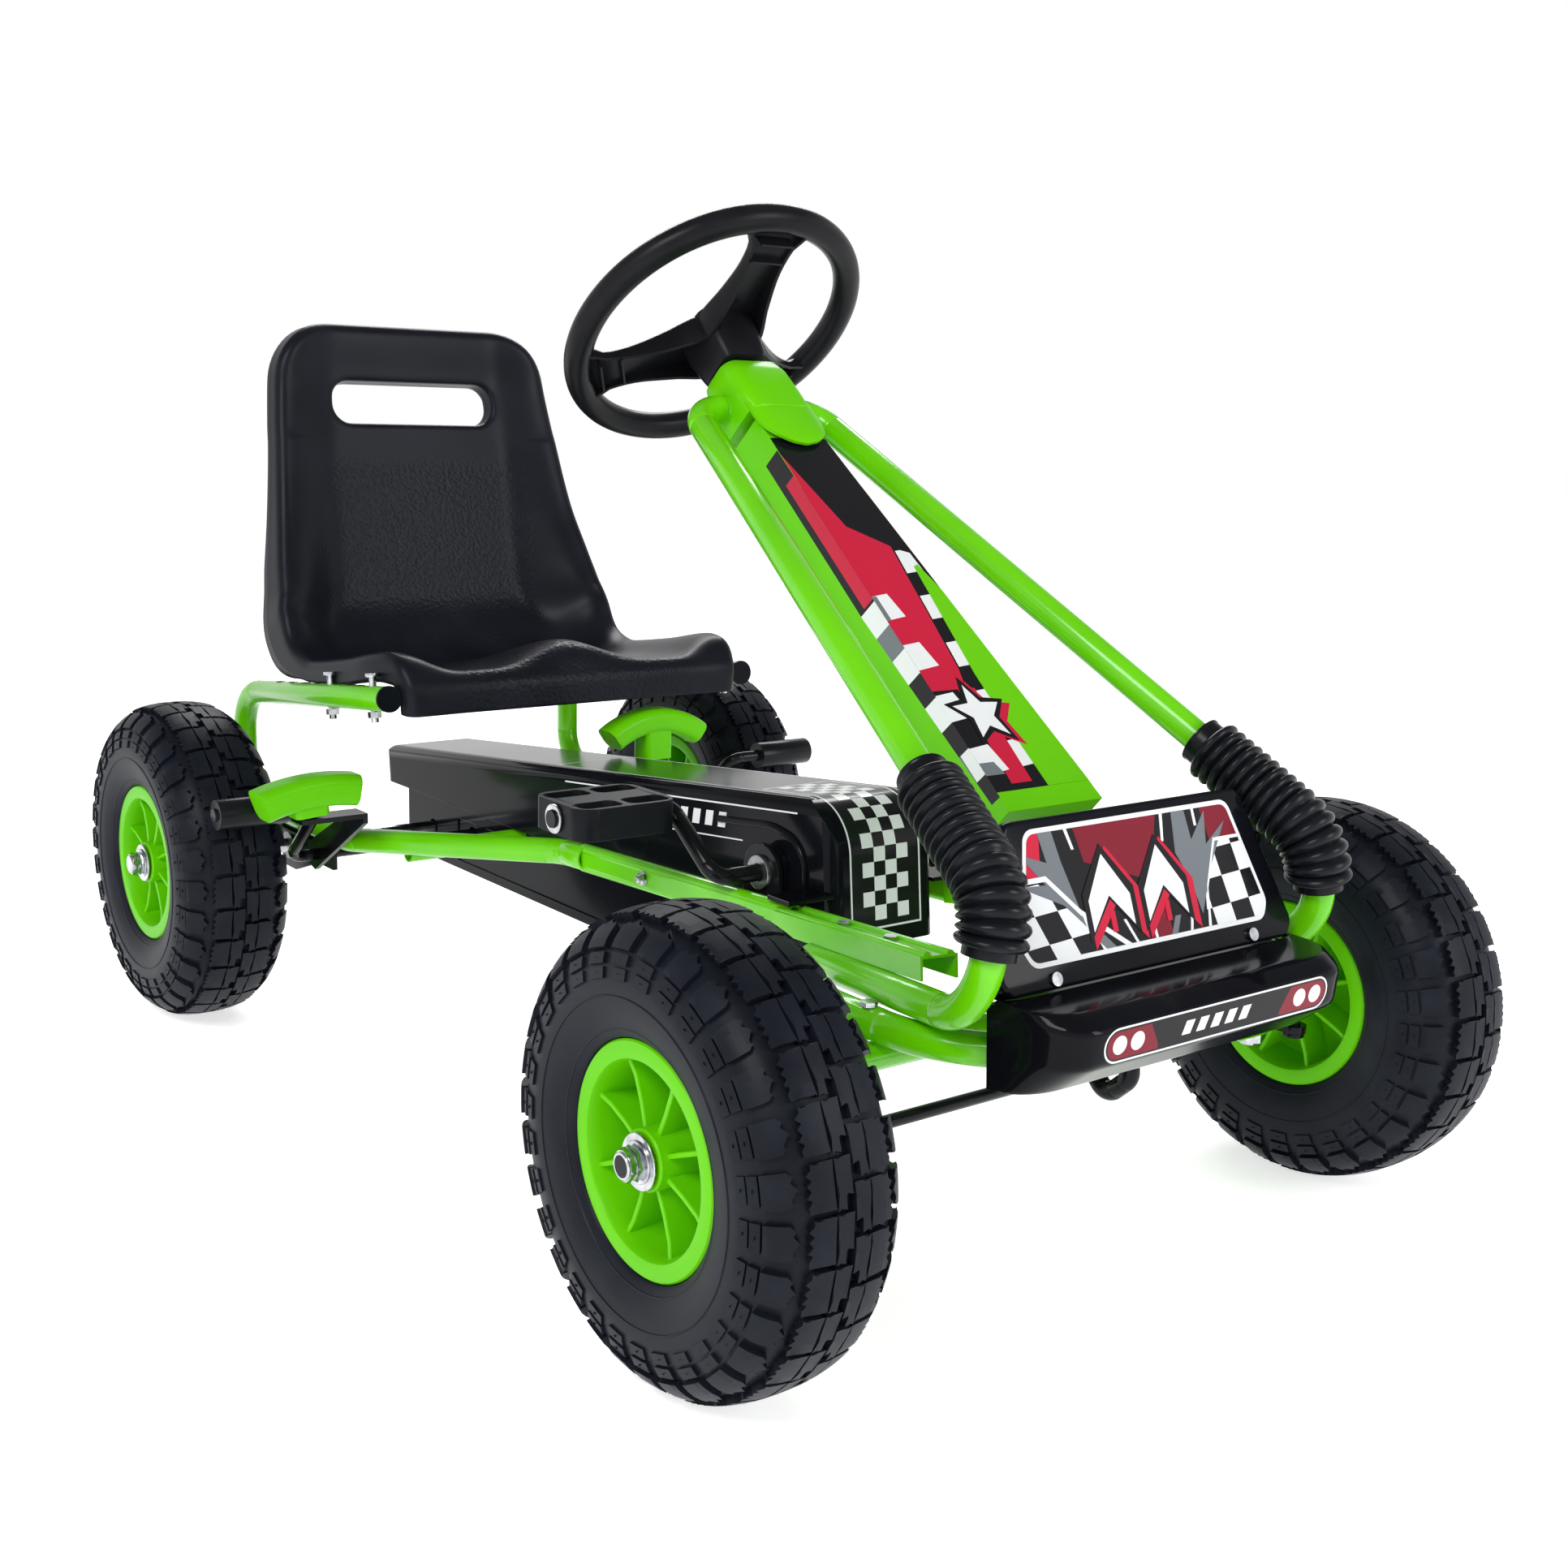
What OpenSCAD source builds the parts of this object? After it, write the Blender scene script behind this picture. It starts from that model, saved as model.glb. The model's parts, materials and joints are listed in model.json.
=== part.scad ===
// Pedal go kart: tubular frame, chain drive to the rear axle, rod steering and tyre brakes.
// +X is forward, +Y is the driver's left, +Z is up. The origin is on the ground at mid-wheelbase.

/* [Wheels] */
// Outer diameter of the tyres
tyre_d = 265; // [264:0.5:266]
// Width of the tyres
tyre_w = 88; // [84:1:88]
// Diameter of the rim flanges
rim_d = 128.8; // [124:0.4:130]
// Distance between front and rear axles
wheelbase = 756; // [754:1:758]
// Distance between the middles of the left and right wheels
track = 530; // [528:1:532]
// Diameter of every axle and shaft
shaft_d = 12; // [12:0.1:12]
// Thin ribs on each side of a rim
rib_count = 8; // [6:1:10]

/* [Frame] */
// Outside diameter of the frame tubes
tube_d = 20; // [18:0.5:20]
// Wall of the frame tubes
tube_wall = 1.5; // [1.2:0.1:3]
// Distance from the middle of the kart to each seat rail
rail_y = 170; // [168:1:172]
// Slope of the seat rails, in degrees
rail_slope = 6.4; // [6:0.1:6.8]

/* [Steering] */
// Angle of the steering wheel above the ground, in degrees
column_rake = 42.9; // [42.7:0.1:43.1]
// Outer diameter of the steering wheel
wheel_rim_d = 230; // [220:1:232]
// Thickness of the steering wheel rim
wheel_rim_t = 20; // [18:1:22]
// Distance from the shaft to the crank pin at its foot
crank_offset = 28; // [27.5:0.5:28.5]
// Length of the steering arms
arm_length = 36; // [35.5:0.5:36.5]

/* [Drive] */
// Throw of the pedal crank
crank_throw = 70; // [60:1:71]
// Crank angle at rest, in degrees
crank_angle = 144; // [140:1:148]
// Teeth on the crank sprocket
crank_teeth = 20; // [18:1:20]
// Teeth on the axle sprocket
axle_teeth = 9; // [9:1:10]
// Length of one chain link
chain_pitch = 12.7; // [12.7:0.1:12.7]

/* [Seat] */
// Width of the seat
seat_w = 336; // [330:1:340]
// Height of the top of the seat above the ground
seat_top = 584; // [570:1:590]
// Width of the handle slot in the seat back
slot_w = 172; // [150:1:180]
// Height of the handle slot
slot_h = 48; // [40:1:50]

/* [Hidden] */
$fn = 64;

green = "yellowgreen";
black = "#1a1a1c";
rubber = "#26262a";
steel = "silver";

tube_r = tube_d / 2;
shaft_r = shaft_d / 2;
fit = 0.05;
tyre_r = tyre_d / 2;
wheel_y = track / 2;
front_axle_x = wheelbase / 2;
rear_axle_x = -wheelbase / 2;
axle_end_y = wheel_y + 48;

// Steering column: origin at the wheel, local +Z towards the driver, local +X forward and up.
wheel_centre = [4.6, 0, 575.3];
column_foot = 620;

// Kingpins and front stub axles
kingpin_y = 195;
sleeve_r = 11;
sleeve_low = 118;
sleeve_high = 158;
arm_z = 124;
beam_x = front_axle_x - 12;
beam_z = 155;
clevis_y = kingpin_y - 24;

// Frame tube centre lines on the +Y side
seat_rail = [[-185, rail_y, 288], [-480, rail_y, 255], [-480, rail_y, 158], [-262, rail_y, 160],
             [-80, 75, 176], [-40, 75, 178.5]];
seat_rail_bends = [40, 34, 45, 40];
front_tube = [[59, 15.2, 517], [55, 52.5, 517.2], [463, 134.5, 270.5], [463, 146, 203], [262, 97, 180]];
front_tube_bends = [26, 40, 40];
hoop = [[300, 126, 175], [325, 136, 175], [465, 136, 175], [465, -136, 175], [325, -136, 175],
        [300, -126, 175]];
hoop_bends = [60, 88, 88, 60];
flat_rear = [-46, 75, 178];
flat_front = [215, 75, 190];
channel_end = [402, 118, 214];
flat_w = 12;
flat_h = 22;
channel_w = 24;
channel_h = 14;

// Crank
crank_axis = [152, 0, 207];
crank_plane_y = 94;
pedal_y = 146;
pedal_w = 78;
pedal_len = 66;
pedal_t = 22;
pin_end_y = 189;
arm_offset = crank_throw * [cos(crank_angle), 0, sin(crank_angle)];

// Chain drive
axle_centre = [rear_axle_x, 0, tyre_r];
axle_pitch_r = chain_pitch / 2 / sin(180 / axle_teeth);
crank_pitch_r = chain_pitch / 2 / sin(180 / crank_teeth);

// Chain guard
guard_half_w = 45;
guard_wall = 3;
guard_split = 165;
guard_rear = -455;
guard_top_rear = 198;
guard_slope = 5.8;
pan_half_w = 34;

// Brake and gear levers
brake_pivot = [-305, 0, 140];
sleeve_axis = [-240, 0, 198];
gear_pivot = [-215, 80, 178];

// ---------- Helpers ----------

function unit(v) = v / norm(v);
function bend_angle(a, b, c) = acos(unit(b - a) * unit(c - b));
function bend_cut(a, b, c, r) = r * tan(bend_angle(a, b, c) / 2);

// Stands +Z of its children along the line from a to b, with its origin at a
module stand_along(a, b) {
  d = b - a;
  translate(a)
    rotate([0, acos(d.z / norm(d)), atan2(d.y, d.x)])
      children();
}

// Straight round bar from a to b
module rod(a, b, r) {
  stand_along(a, b)
    cylinder(h = norm(b - a), r = r);
}

// Arc of round bar, with a hole along it if hole is over 0, tangent to the lines a-b and b-c
module bend(a, b, c, bend_r, r, hole) {
  along = unit(b - a);
  normal = unit(cross(along, unit(c - b)));
  start = b - along * bend_cut(a, b, c, bend_r);
  out = cross(along, normal);
  centre = start - out * bend_r;
  multmatrix([[out.x, along.x, normal.x, centre.x],
              [out.y, along.y, normal.y, centre.y],
              [out.z, along.z, normal.z, centre.z],
              [0, 0, 0, 1]])
    rotate_extrude(angle = bend_angle(a, b, c))
      translate([bend_r, 0])
        difference() {
          circle(r);
          if (hole > 0)
            circle(hole);
        }
}

// Straight stretch of the same bar
module straight(a, b, r, hole) {
  stand_along(a, b)
    difference() {
      cylinder(h = norm(b - a), r = r);
      if (hole > 0)
        translate([0, 0, -1])
          cylinder(h = norm(b - a) + 2, r = hole);
    }
}

// Weld inside the wall where a straight stretch meets a bend
weld_depth = 0.4;
weld_half = 0.9;
weld_gap = 0.01;

module weld(at, along, r, hole) {
  stand_along(at - along * weld_half, at + along * weld_half)
    difference() {
      cylinder(h = 2 * weld_half, r = r - weld_depth);
      if (hole > 0)
        translate([0, 0, -1])
          cylinder(h = 2 * weld_half + 2, r = hole + weld_depth);
    }
}

// Round bar along a route, with one bend radius for each inner point
module bent_rod(points, bends, r, hole = 0) {
  last = len(points) - 1;
  cuts = [for (i = [0:last]) i == 0 || i == last ? 0
           : bend_cut(points[i - 1], points[i], points[i + 1], bends[i - 1])];
  for (i = [0:last - 1]) {
    along = unit(points[i + 1] - points[i]);
    from = points[i] + along * (cuts[i] + (i > 0 ? weld_gap : 0));
    to = points[i + 1] - along * (cuts[i + 1] + (i < last - 1 ? weld_gap : 0));
    straight(from, to, r, hole);
    if (i > 0)
      weld(from, along, r, hole);
    if (i < last - 1)
      weld(to, along, r, hole);
  }
  for (i = [1:last - 1])
    bend(points[i - 1], points[i], points[i + 1], bends[i - 1], r, hole);
}

// Hollow tube along a route
module bent_tube(points, bends, r, wall) {
  bent_rod(points, bends, r, r - wall);
}

// Ring around the local Z axis
module ring(r_out, r_in, h) {
  difference() {
    cylinder(h = h, r = r_out);
    translate([0, 0, -1])
      cylinder(h = h + 2, r = r_in);
  }
}

// Lays +Z of its children along +Y
module along_y() {
  rotate([-90, 0, 0])
    children();
}

// Places its children in the steering column's frame
module on_column() {
  translate(wheel_centre)
    rotate([0, -column_rake, 0])
      children();
}

// Keeps the children, mirrored to the right-hand side when side is -1
module on_side(side) {
  if (side < 0)
    mirror([0, 1, 0])
      children();
  else
    children();
}

// Solid with an outline in the XZ plane, from y = -half_w to y = half_w
module slab_xz(half_w) {
  rotate([90, 0, 0])
    translate([0, 0, -half_w])
      linear_extrude(2 * half_w)
        children();
}

// Bar with a flat oval outline, w wide and h high
module oval(w, h) {
  square([w, h - w], center = true);
  for (s = [-1, 1])
    translate([0, s * (h - w) / 2])
      circle(w / 2);
}

// Rectangle with round corners
module soft_square(w, h, r) {
  square([w - 2 * r, h], center = true);
  square([w, h - 2 * r], center = true);
  for (x = [-1, 1], y = [-1, 1])
    translate([x * (w / 2 - r), y * (h / 2 - r)])
      circle(r);
}

// Hexagon bolt that points down local -Z from its head's seat at the origin, with a nut
module bolt(r, grip, nut = true) {
  cylinder(h = 0.9 * r, r = 1.75 * r, $fn = 6);
  translate([0, 0, -grip - 2 * r])
    cylinder(h = grip + 2 * r, r = r);
  if (nut)
    translate([0, 0, -grip - 1.5 * r])
      cylinder(h = 1.5 * r, r = 1.75 * r, $fn = 6);
}

// ---------- Frame ----------

// Seat rail, rear loop and floor run in one tube, pressed flat and then ribbed towards the front
module main_tube(side) {
  color(green)
    on_side(side)
      difference() {
        union() {
          bent_tube(seat_rail, seat_rail_bends, tube_r, tube_wall);
          flat_run();
          channel();
        }
        rod(front_tube[4], front_tube[3], tube_r + fit);
        rail_bolt_holes();
        for (x = channel_bolt_x)
          translate(channel_top(x) - [0, 0, 8])
            cylinder(h = 20, r = 2.6);
      }
}

// Flat part of the floor run beside the chain guard
module flat_run() {
  stand_along(flat_rear, flat_front)
    linear_extrude(norm(flat_front - flat_rear))
      difference() {
        rotate(90)
          oval(flat_w, flat_h);
        rotate(90)
          oval(flat_w - 2 * tube_wall, flat_h - 2 * tube_wall);
      }
}

// Ribbed front end of the floor run, which lies on the front tube
module channel() {
  lap = 8;
  start = flat_front - unit(channel_end - flat_front) * lap;
  stand_along(start, channel_end)
    linear_extrude(norm(channel_end - start))
      difference() {
        union() {
          square([channel_h, channel_w], center = true);
          for (s = [-1, 1])
            translate([-channel_h / 2, s * 7.5])
              circle(2.4);
        }
        translate([tube_wall, 0])
          square([channel_h, channel_w - 2 * tube_wall], center = true);
      }
}

// Places of the two seat bolts on one rail, measured forward along it from its rear
rail_bolt_runs = [191, 271];
rail_dir = unit(seat_rail[0] - seat_rail[1]);

module at_rail_bolts() {
  for (run = rail_bolt_runs)
    translate([seat_rail[1].x, rail_y, seat_rail[1].z] + rail_dir * run)
      rotate([0, -rail_slope, 0])
        children();
}

module rail_bolt_holes() {
  at_rail_bolts()
    translate([0, 0, -20])
      cylinder(h = 40, r = 3.1);
}

// Leg of the A-shaped front frame, from the head tube down and back under the floor
module front_leg(side) {
  color(green)
    on_side(side)
      difference() {
        bent_tube(front_tube, front_tube_bends, tube_r, tube_wall);
        on_column()
          translate([0, 0, -150])
            cylinder(h = 150, r = 15.02);
      }
}

// Tube around the steering shaft at the top of the front legs
module head_tube() {
  color(green)
    on_column()
      translate([0, 0, -112])
        ring(15, 12.05, 66);
}

// Plain bush of the kart: every shaft runs in one of these
module bush() {
  ring(12, shaft_r + fit, 10);
}

module bushes() {
  color("gray") {
    on_column() {
      translate([0, 0, -56])
        bush();
      translate([0, 0, -112])
        bush();
    }
    for (s = [-1, 1]) {
      translate([rear_axle_x, s * rail_y - 5, tyre_r])
        along_y()
          bush();
      translate([crank_axis.x, s * 54 - 5, crank_axis.z])
        along_y()
          bush();
    }
  }
}

// Wedge-shaped cover in front of the steering shaft
cover_profile = [[20, -104], [74.5, -460], [12, -466], [-17, -104]];
cover_plan = [[-104, 23], [-460, 40], [-470, 40], [-470, -40], [-460, -40], [-104, -23]];

module wedge(shrink, open_by) {
  intersection() {
    slab_xz(80)
      polygon([for (i = [0:3]) cover_profile[i] - [i < 2 ? shrink : open_by, 0]]);
    rotate([0, 90, 0])
      translate([0, 0, -120])
        linear_extrude(240)
          polygon([for (p = cover_plan) [-p.x, p.y - sign(p.y) * shrink]]);
  }
}

module column_cover() {
  color(green)
    on_column()
      difference() {
        wedge(0, 0);
        wedge(2, 60);
      }
}

// Cap over the head tube and the top ends of the front legs
module column_cap() {
  color(green)
    difference() {
      on_column()
        difference() {
          slab_xz(27.6)
            polygon([[19, -48], [24, -62], [27, -100], [31.5, -136], [23, -134], [23, -100], [-22, -100],
                     [-18, -48]]);
          slab_xz(24.9)
            polygon([[16, -40], [20.8, -62], [23.8, -100], [28.5, -140], [20, -140], [-30, -106],
                     [-30, -40]]);
        }
      for (s = [-1, 1])
        on_side(s)
          bent_rod(front_tube, front_tube_bends, tube_r + 0.4);
    }
}

// U-shaped tube across the front, under the floor runs
module hoop_tube() {
  color(green)
    difference() {
      bent_tube(hoop, hoop_bends, tube_r, tube_wall);
      beam_bolt_holes();
    }
}

module beam_bolt_holes() {
  for (s = [-1, 1])
    translate([beam_x, s * beam_bolt_y, 100])
      cylinder(h = 120, r = 3.1);
}

// Cross bar that carries both kingpin forks, and the foot bearing of the steering shaft
module front_axle_beam() {
  color(green) {
    difference() {
      rod([beam_x, -clevis_y, beam_z], [beam_x, clevis_y, beam_z], tube_r);
      rod([beam_x, -clevis_y - 1, beam_z], [beam_x, clevis_y + 1, beam_z], tube_r - tube_wall);
      column_bore();
      beam_bolt_holes();
    }
    for (s = [-1, 1])
      on_side(s)
        kingpin_fork();
    column_foot_bearing();
  }
}

module kingpin_fork() {
  plate_x = [front_axle_x - 24, 36];
  translate([plate_x[0], clevis_y, sleeve_low - 6])
    cube([plate_x[1], 4, sleeve_high - sleeve_low + 12]);
  for (z = [sleeve_low - 6, sleeve_high + 1])
    difference() {
      union() {
        translate([front_axle_x, kingpin_y, z])
          cylinder(h = 5, r = 12);
        translate([front_axle_x - 12, clevis_y, z])
          cube([24, kingpin_y - clevis_y, 5]);
      }
      translate([front_axle_x, kingpin_y, z - 1])
        cylinder(h = 7, r = shaft_r + fit);
    }
}

module column_bore() {
  on_column()
    translate([0, 0, -column_foot])
      cylinder(h = 120, r = shaft_r + fit);
}

module column_foot_bearing() {
  difference() {
    union() {
      on_column()
        translate([0, 0, -578])
          cylinder(h = 24, r = 11);
      translate([beam_x, -6, beam_z - 4])
        cube([24, 12, 8]);
    }
    column_bore();
    rod([beam_x, -20, beam_z], [beam_x, 20, beam_z], tube_r - tube_wall);
  }
}

// Cross tube behind the seat front, with the gear lever's ears on it
module cross_tube() {
  color(green) {
    difference() {
      rod([gear_pivot.x, -140, 155], [gear_pivot.x, 140, 155], 8);
      rod([gear_pivot.x, -141, 155], [gear_pivot.x, 141, 155], 6.5);
      for (s = [-1, 1])
        on_side(s)
          bent_rod(seat_rail, seat_rail_bends, tube_r + 0.02);
    }
    for (s = [-1, 1])
      translate([gear_pivot.x, gear_pivot.y + s * 9.5, 0])
        gear_ear();
  }
}

module gear_ear() {
  difference() {
    translate([-9, -1.5, 155])
      cube([18, 3, 33]);
    translate([0, -2, gear_pivot.z])
      along_y()
        cylinder(h = 4, r = 4 + fit);
    translate([0, -2, 155])
      along_y()
        cylinder(h = 4, r = 7.9);
  }
}

// Pins of the steering knuckles, one bolt with a nut on each side
module kingpins() {
  color(steel)
    for (s = [-1, 1])
      translate([front_axle_x, s * kingpin_y, sleeve_high + 6])
        kingpin();
}

module kingpin() {
  grip = sleeve_high - sleeve_low + 12;
  cylinder(h = 6, r = 10, $fn = 6);
  translate([0, 0, -grip - 9])
    cylinder(h = grip + 9, r = shaft_r);
  translate([0, 0, -grip - 7])
    cylinder(h = 7, r = 10, $fn = 6);
}

// Bolts that hold the floor runs to the front legs, the hoop and the axle beam
channel_bolt_x = [285, 345];
beam_bolt_y = 138;

module frame_bolts() {
  color(steel)
    for (s = [-1, 1])
      on_side(s) {
        for (x = channel_bolt_x)
          translate(channel_top(x))
            bolt(2.5, 1.5, false);
        translate([beam_x, beam_bolt_y, 185.1])
          bolt(3, 40.2);
      }
}

// Point on the top of the channel at a distance x along the kart
function channel_point(x) =
  flat_front + (channel_end - flat_front) * (x - flat_front.x) / (channel_end.x - flat_front.x);
function channel_top(x) = channel_point(x) + [0, 0, channel_h / 2 + 0.65];

// ---------- Body panels ----------

// Rubber sleeve over the bend of one front leg, with a tight cuff at each end
bellows_r = 20.5;
bellows_wall = 8;
cuff_r = 15.5;

module bellows(side) {
  b = front_tube[2];
  down = unit(b - front_tube[1]);
  drop = unit(front_tube[3] - b);
  upper = b - down * 84;
  lower = b + drop * 32;
  color(rubber)
    on_side(side) {
      bent_tube([upper, b, lower], [40], bellows_r, bellows_wall);
      straight(upper - down * 14, upper + down * 3, cuff_r, tube_r + fit);
      straight(lower - drop * 6, lower - drop * 1, cuff_r, tube_r + fit);
    }
}

// Shield in front of the driver's feet
panel_low = [460.5, 0, 211];
panel_high = [427, 0, 300];

module panel_outline(inset) {
  h = norm(panel_high - panel_low) - inset;
  polygon([[-118 + inset, inset], [118 - inset, inset], [124 - inset, 9 + inset / 2],
           [104 - inset, h - 8], [97 - inset, h], [-97 + inset, h], [-104 + inset, h - 8],
           [-124 + inset, 9 + inset / 2]]);
}

// Stands its children up in the shield's plane: local X runs across, local Y up the shield
module on_panel() {
  translate(panel_low)
    rotate([0, -atan2(panel_low.x - panel_high.x, panel_high.z - panel_low.z), 0])
      rotate([90, 0, 90])
        children();
}

module front_panel() {
  color(black)
    on_panel()
      difference() {
        translate([0, 0, -14])
          linear_extrude(14)
            panel_outline(0);
        translate([0, 0, -17])
          linear_extrude(14)
            panel_outline(3);
        for (s = [-1, 1])
          translate([s * 84, 5.5, -5])
            cylinder(h = 10, r = 2.1);
      }
}

module panel_screws() {
  color(steel)
    for (s = [-1, 1])
      on_panel()
        translate([s * 84, 5.5, 0]) {
          cylinder(h = 2, r = 4);
          translate([0, 0, -9])
            cylinder(h = 9, r = 2);
        }
}

// Bumper shell, which hooks round the hoop
bumper_outer = [[440, 158], [478, 160], [506, 182], [508, 203], [496, 210], [461, 210.5],
                [455, 205], [440, 205]];
bumper_inner = [[420, 161], [477, 163], [503, 183.5], [505, 202], [495, 207], [462, 207.5],
                [455, 201], [420, 201]];

module bumper() {
  color(black)
    difference() {
      intersection() {
        slab_xz(150)
          polygon(bumper_outer);
        bumper_plan(0);
      }
      intersection() {
        slab_xz(150)
          polygon(bumper_inner);
        bumper_plan(3);
      }
      translate([430, -38, 150])
        cube([26, 76, 14]);
    }
}

module bumper_plan(inset) {
  translate([0, 0, 150])
    linear_extrude(70)
      polygon([for (s = [1, -1])
                 each s > 0 ? [[450 - inset, 124 - inset], [476, 124 - inset],
                               [496, 117 - inset], [509, 101 - inset]]
                            : [[509, -101 + inset], [496, -117 + inset],
                               [476, -124 + inset], [450 - inset, -124 + inset]]]);
}

// ---------- Chain guard ----------

guard_len = 671;

// Side outline of the guard's upper shell, with a round nose and a tighter corner at its rear
module guard_outline(inset) {
  intersection() {
    translate([guard_rear, guard_top_rear])
      rotate(guard_slope)
        intersection() {
          translate([guard_len / 2 - 40, -100])
            soft_square(guard_len + 80 - 2 * inset, 200 - 2 * inset, 38 - inset);
          translate([guard_len / 2 + 40, -99.4])
            soft_square(guard_len + 80 - 2 * inset, 200 - 2 * inset, 14 - inset);
        }
    translate([guard_rear - 20, guard_split - inset])
      square([720, 140]);
  }
}

// Box with soft edges along the guard's sloping top and round its nose
module guard_section(half_w, drop) {
  translate([guard_rear, 0, guard_top_rear])
    rotate([0, -guard_slope, 0])
      intersection() {
        rotate([90, 0, 90])
          translate([0, 0.3 - drop - 60, -20])
            linear_extrude(760)
              soft_square(2 * half_w, 120, 11);
        translate([guard_len / 2, 0, -150])
          linear_extrude(200)
            soft_square(guard_len + 0.6 - 2 * drop, 2 * half_w, 11);
      }
}

module chain_guard_upper() {
  color(black)
    difference() {
      union() {
        intersection() {
          slab_xz(60)
            guard_outline(0);
          guard_section(guard_half_w, 0);
        }
        for (s = [-1, 1])
          on_side(s)
            guard_foot();
      }
      intersection() {
        slab_xz(60)
          guard_outline(guard_wall);
        guard_section(guard_half_w - guard_wall, guard_wall);
      }
      translate([crank_axis.x, -60, crank_axis.z])
        along_y()
          cylinder(h = 120, r = 15);
    }
}

// Foot that stands on the floor run beside the guard's nose
module guard_foot() {
  translate([194, guard_half_w - 1, 201.1])
    cube([24, 38, 3]);
}

module pan_outline(inset) {
  polygon([[-428 + inset, guard_split - 0.5 + inset], [-428 + inset, 118 + inset], [-412, 104 + inset],
           [30, 104 + inset], [198 - inset, 150], [198 - inset, guard_split - 0.5 + inset]]);
}

module chain_guard_lower() {
  color(black)
    difference() {
      slab_xz(pan_half_w)
        pan_outline(0);
      slab_xz(pan_half_w - guard_wall)
        pan_outline(guard_wall);
      translate([rear_axle_x, -60, tyre_r])
        along_y()
          cylinder(h = 120, r = shaft_r + 1.5);
      translate([gear_pivot.x, -60, 155])
        along_y()
          cylinder(h = 120, r = 8.4);
      translate([brake_pivot.x, -60, brake_pivot.z])
        along_y()
          cylinder(h = 120, r = 6.5);
      for (s = [-1, 1])
        translate([0, s * (pan_half_w - 0.6), 0])
          slab_xz(0.61)
            polygon([[-330, 112], [-60, 112], [-40, 128], [-60, 150], [-330, 150]]);
    }
}

// ---------- Chain and sprockets ----------

// Outline of the chain's pitch line, grown by k; the straights sit a hair inside the arcs' edges
chain_ease = 0.05;

module chain_outline(k) {
  run = crank_axis - axle_centre;
  span = norm(run);
  rise = atan2(run.z, run.x);
  lean = asin((crank_pitch_r - axle_pitch_r) / span);
  r1 = axle_pitch_r + k;
  r2 = crank_pitch_r + k;
  translate([axle_centre.x, axle_centre.z])
    rotate(rise) {
      circle(r1);
      translate([span, 0])
        circle(r2);
      polygon([for (c = [[0, r1], [span, r2]], s = [-1, 1])
                 [c[0], 0] + (c[1] - chain_ease) * [-sin(lean), (c[0] > 0 ? -s : s) * cos(lean)]]);
    }
}

// One strand's rollers, on the straight between the sprockets; up is 1 for the top strand
module rollers(up) {
  run = crank_axis - axle_centre;
  span = norm(run);
  lean = asin((crank_pitch_r - axle_pitch_r) / span);
  straight = span * cos(lean);
  count = floor((straight - 76) / chain_pitch);
  translate(axle_centre)
    rotate([0, -atan2(run.z, run.x) - up * lean, 0])
      for (i = [0:count])
        translate([26 + i * chain_pitch, -4.6, up * axle_pitch_r])
          along_y()
            cylinder(h = 9.2, r = 3.9, $fn = 24);
}

module chain() {
  color("dimgray") {
    for (y = [-3.9, 3.9])
      translate([0, y, 0])
        slab_xz(0.8)
          difference() {
            chain_outline(4.1);
            chain_outline(-4.1);
          }
    rollers(1);
    rollers(-1);
  }
}

module sprocket(teeth, bore_r) {
  pitch_r = chain_pitch / 2 / sin(180 / teeth);
  translate([0, -1.2, 0])
    along_y()
      difference() {
        linear_extrude(2.4)
          difference() {
            circle(pitch_r + 2.6);
            for (i = [0:teeth - 1])
              rotate(i * 360 / teeth)
                translate([pitch_r, 0])
                  circle(4.1, $fn = 24);
            if (teeth > 15)
              for (i = [0:4])
                rotate(i * 72)
                  translate([0.6 * pitch_r, 0])
                    circle(0.2 * pitch_r);
          }
        translate([0, 0, -1])
          cylinder(h = 5, r = bore_r);
      }
}

module sprocket_collar() {
  difference() {
    for (y = [-9, 1.2])
      translate([0, y, 0])
        along_y()
          cylinder(h = 7.8, r = 10);
    translate([0, -20, 0])
      along_y()
        cylinder(h = 40, r = shaft_r + fit);
  }
}

// ---------- Seat ----------

seat_back_lean = 10.2;
seat_base_z = 283;
seat_back_foot = [-436, 0, seat_base_z];
seat_back_len = (seat_top - seat_base_z) / cos(seat_back_lean) - 1.5;

// Outline of the seat back: local X across, local Y up from the pan
module back_outline(inset) {
  top_r = 48 - inset;
  half_top = 134 - inset;
  half_low = seat_w / 2 - inset;
  h = seat_back_len - inset;
  polygon([[-half_low, 0], [half_low, 0], [half_low - 6, 70], [150 - inset, 140], [half_top + 3, h - 60],
           [half_top, h - top_r], [-half_top, h - top_r], [-half_top - 3, h - 60], [-150 + inset, 140],
           [-half_low + 6, 70]]);
  translate([0, h - top_r / 2 - 20])
    square([2 * (half_top - top_r), top_r + 40], center = true);
  for (s = [-1, 1])
    translate([s * (half_top - top_r), h - top_r])
      circle(top_r);
}

module on_seat_back() {
  translate(seat_back_foot)
    rotate([0, -seat_back_lean, 0])
      rotate([90, 0, 90])
        children();
}

module seat_back() {
  on_seat_back()
    difference() {
      translate([0, 0, -4])
        linear_extrude(26)
          back_outline(0);
      translate([0, 8, 3])
        linear_extrude(40)
          back_outline(7);
      translate([0, seat_back_len - 46 - slot_h / 2, -10])
        linear_extrude(40)
          soft_square(slot_w, slot_h, 20);
    }
}

// Pan, level with the rails: raised sides set in round the bolts, and a deep front lip.
// Local X runs forward along the rails from their front ends, local Z up from their tops.
pan_floor = 6;

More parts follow.
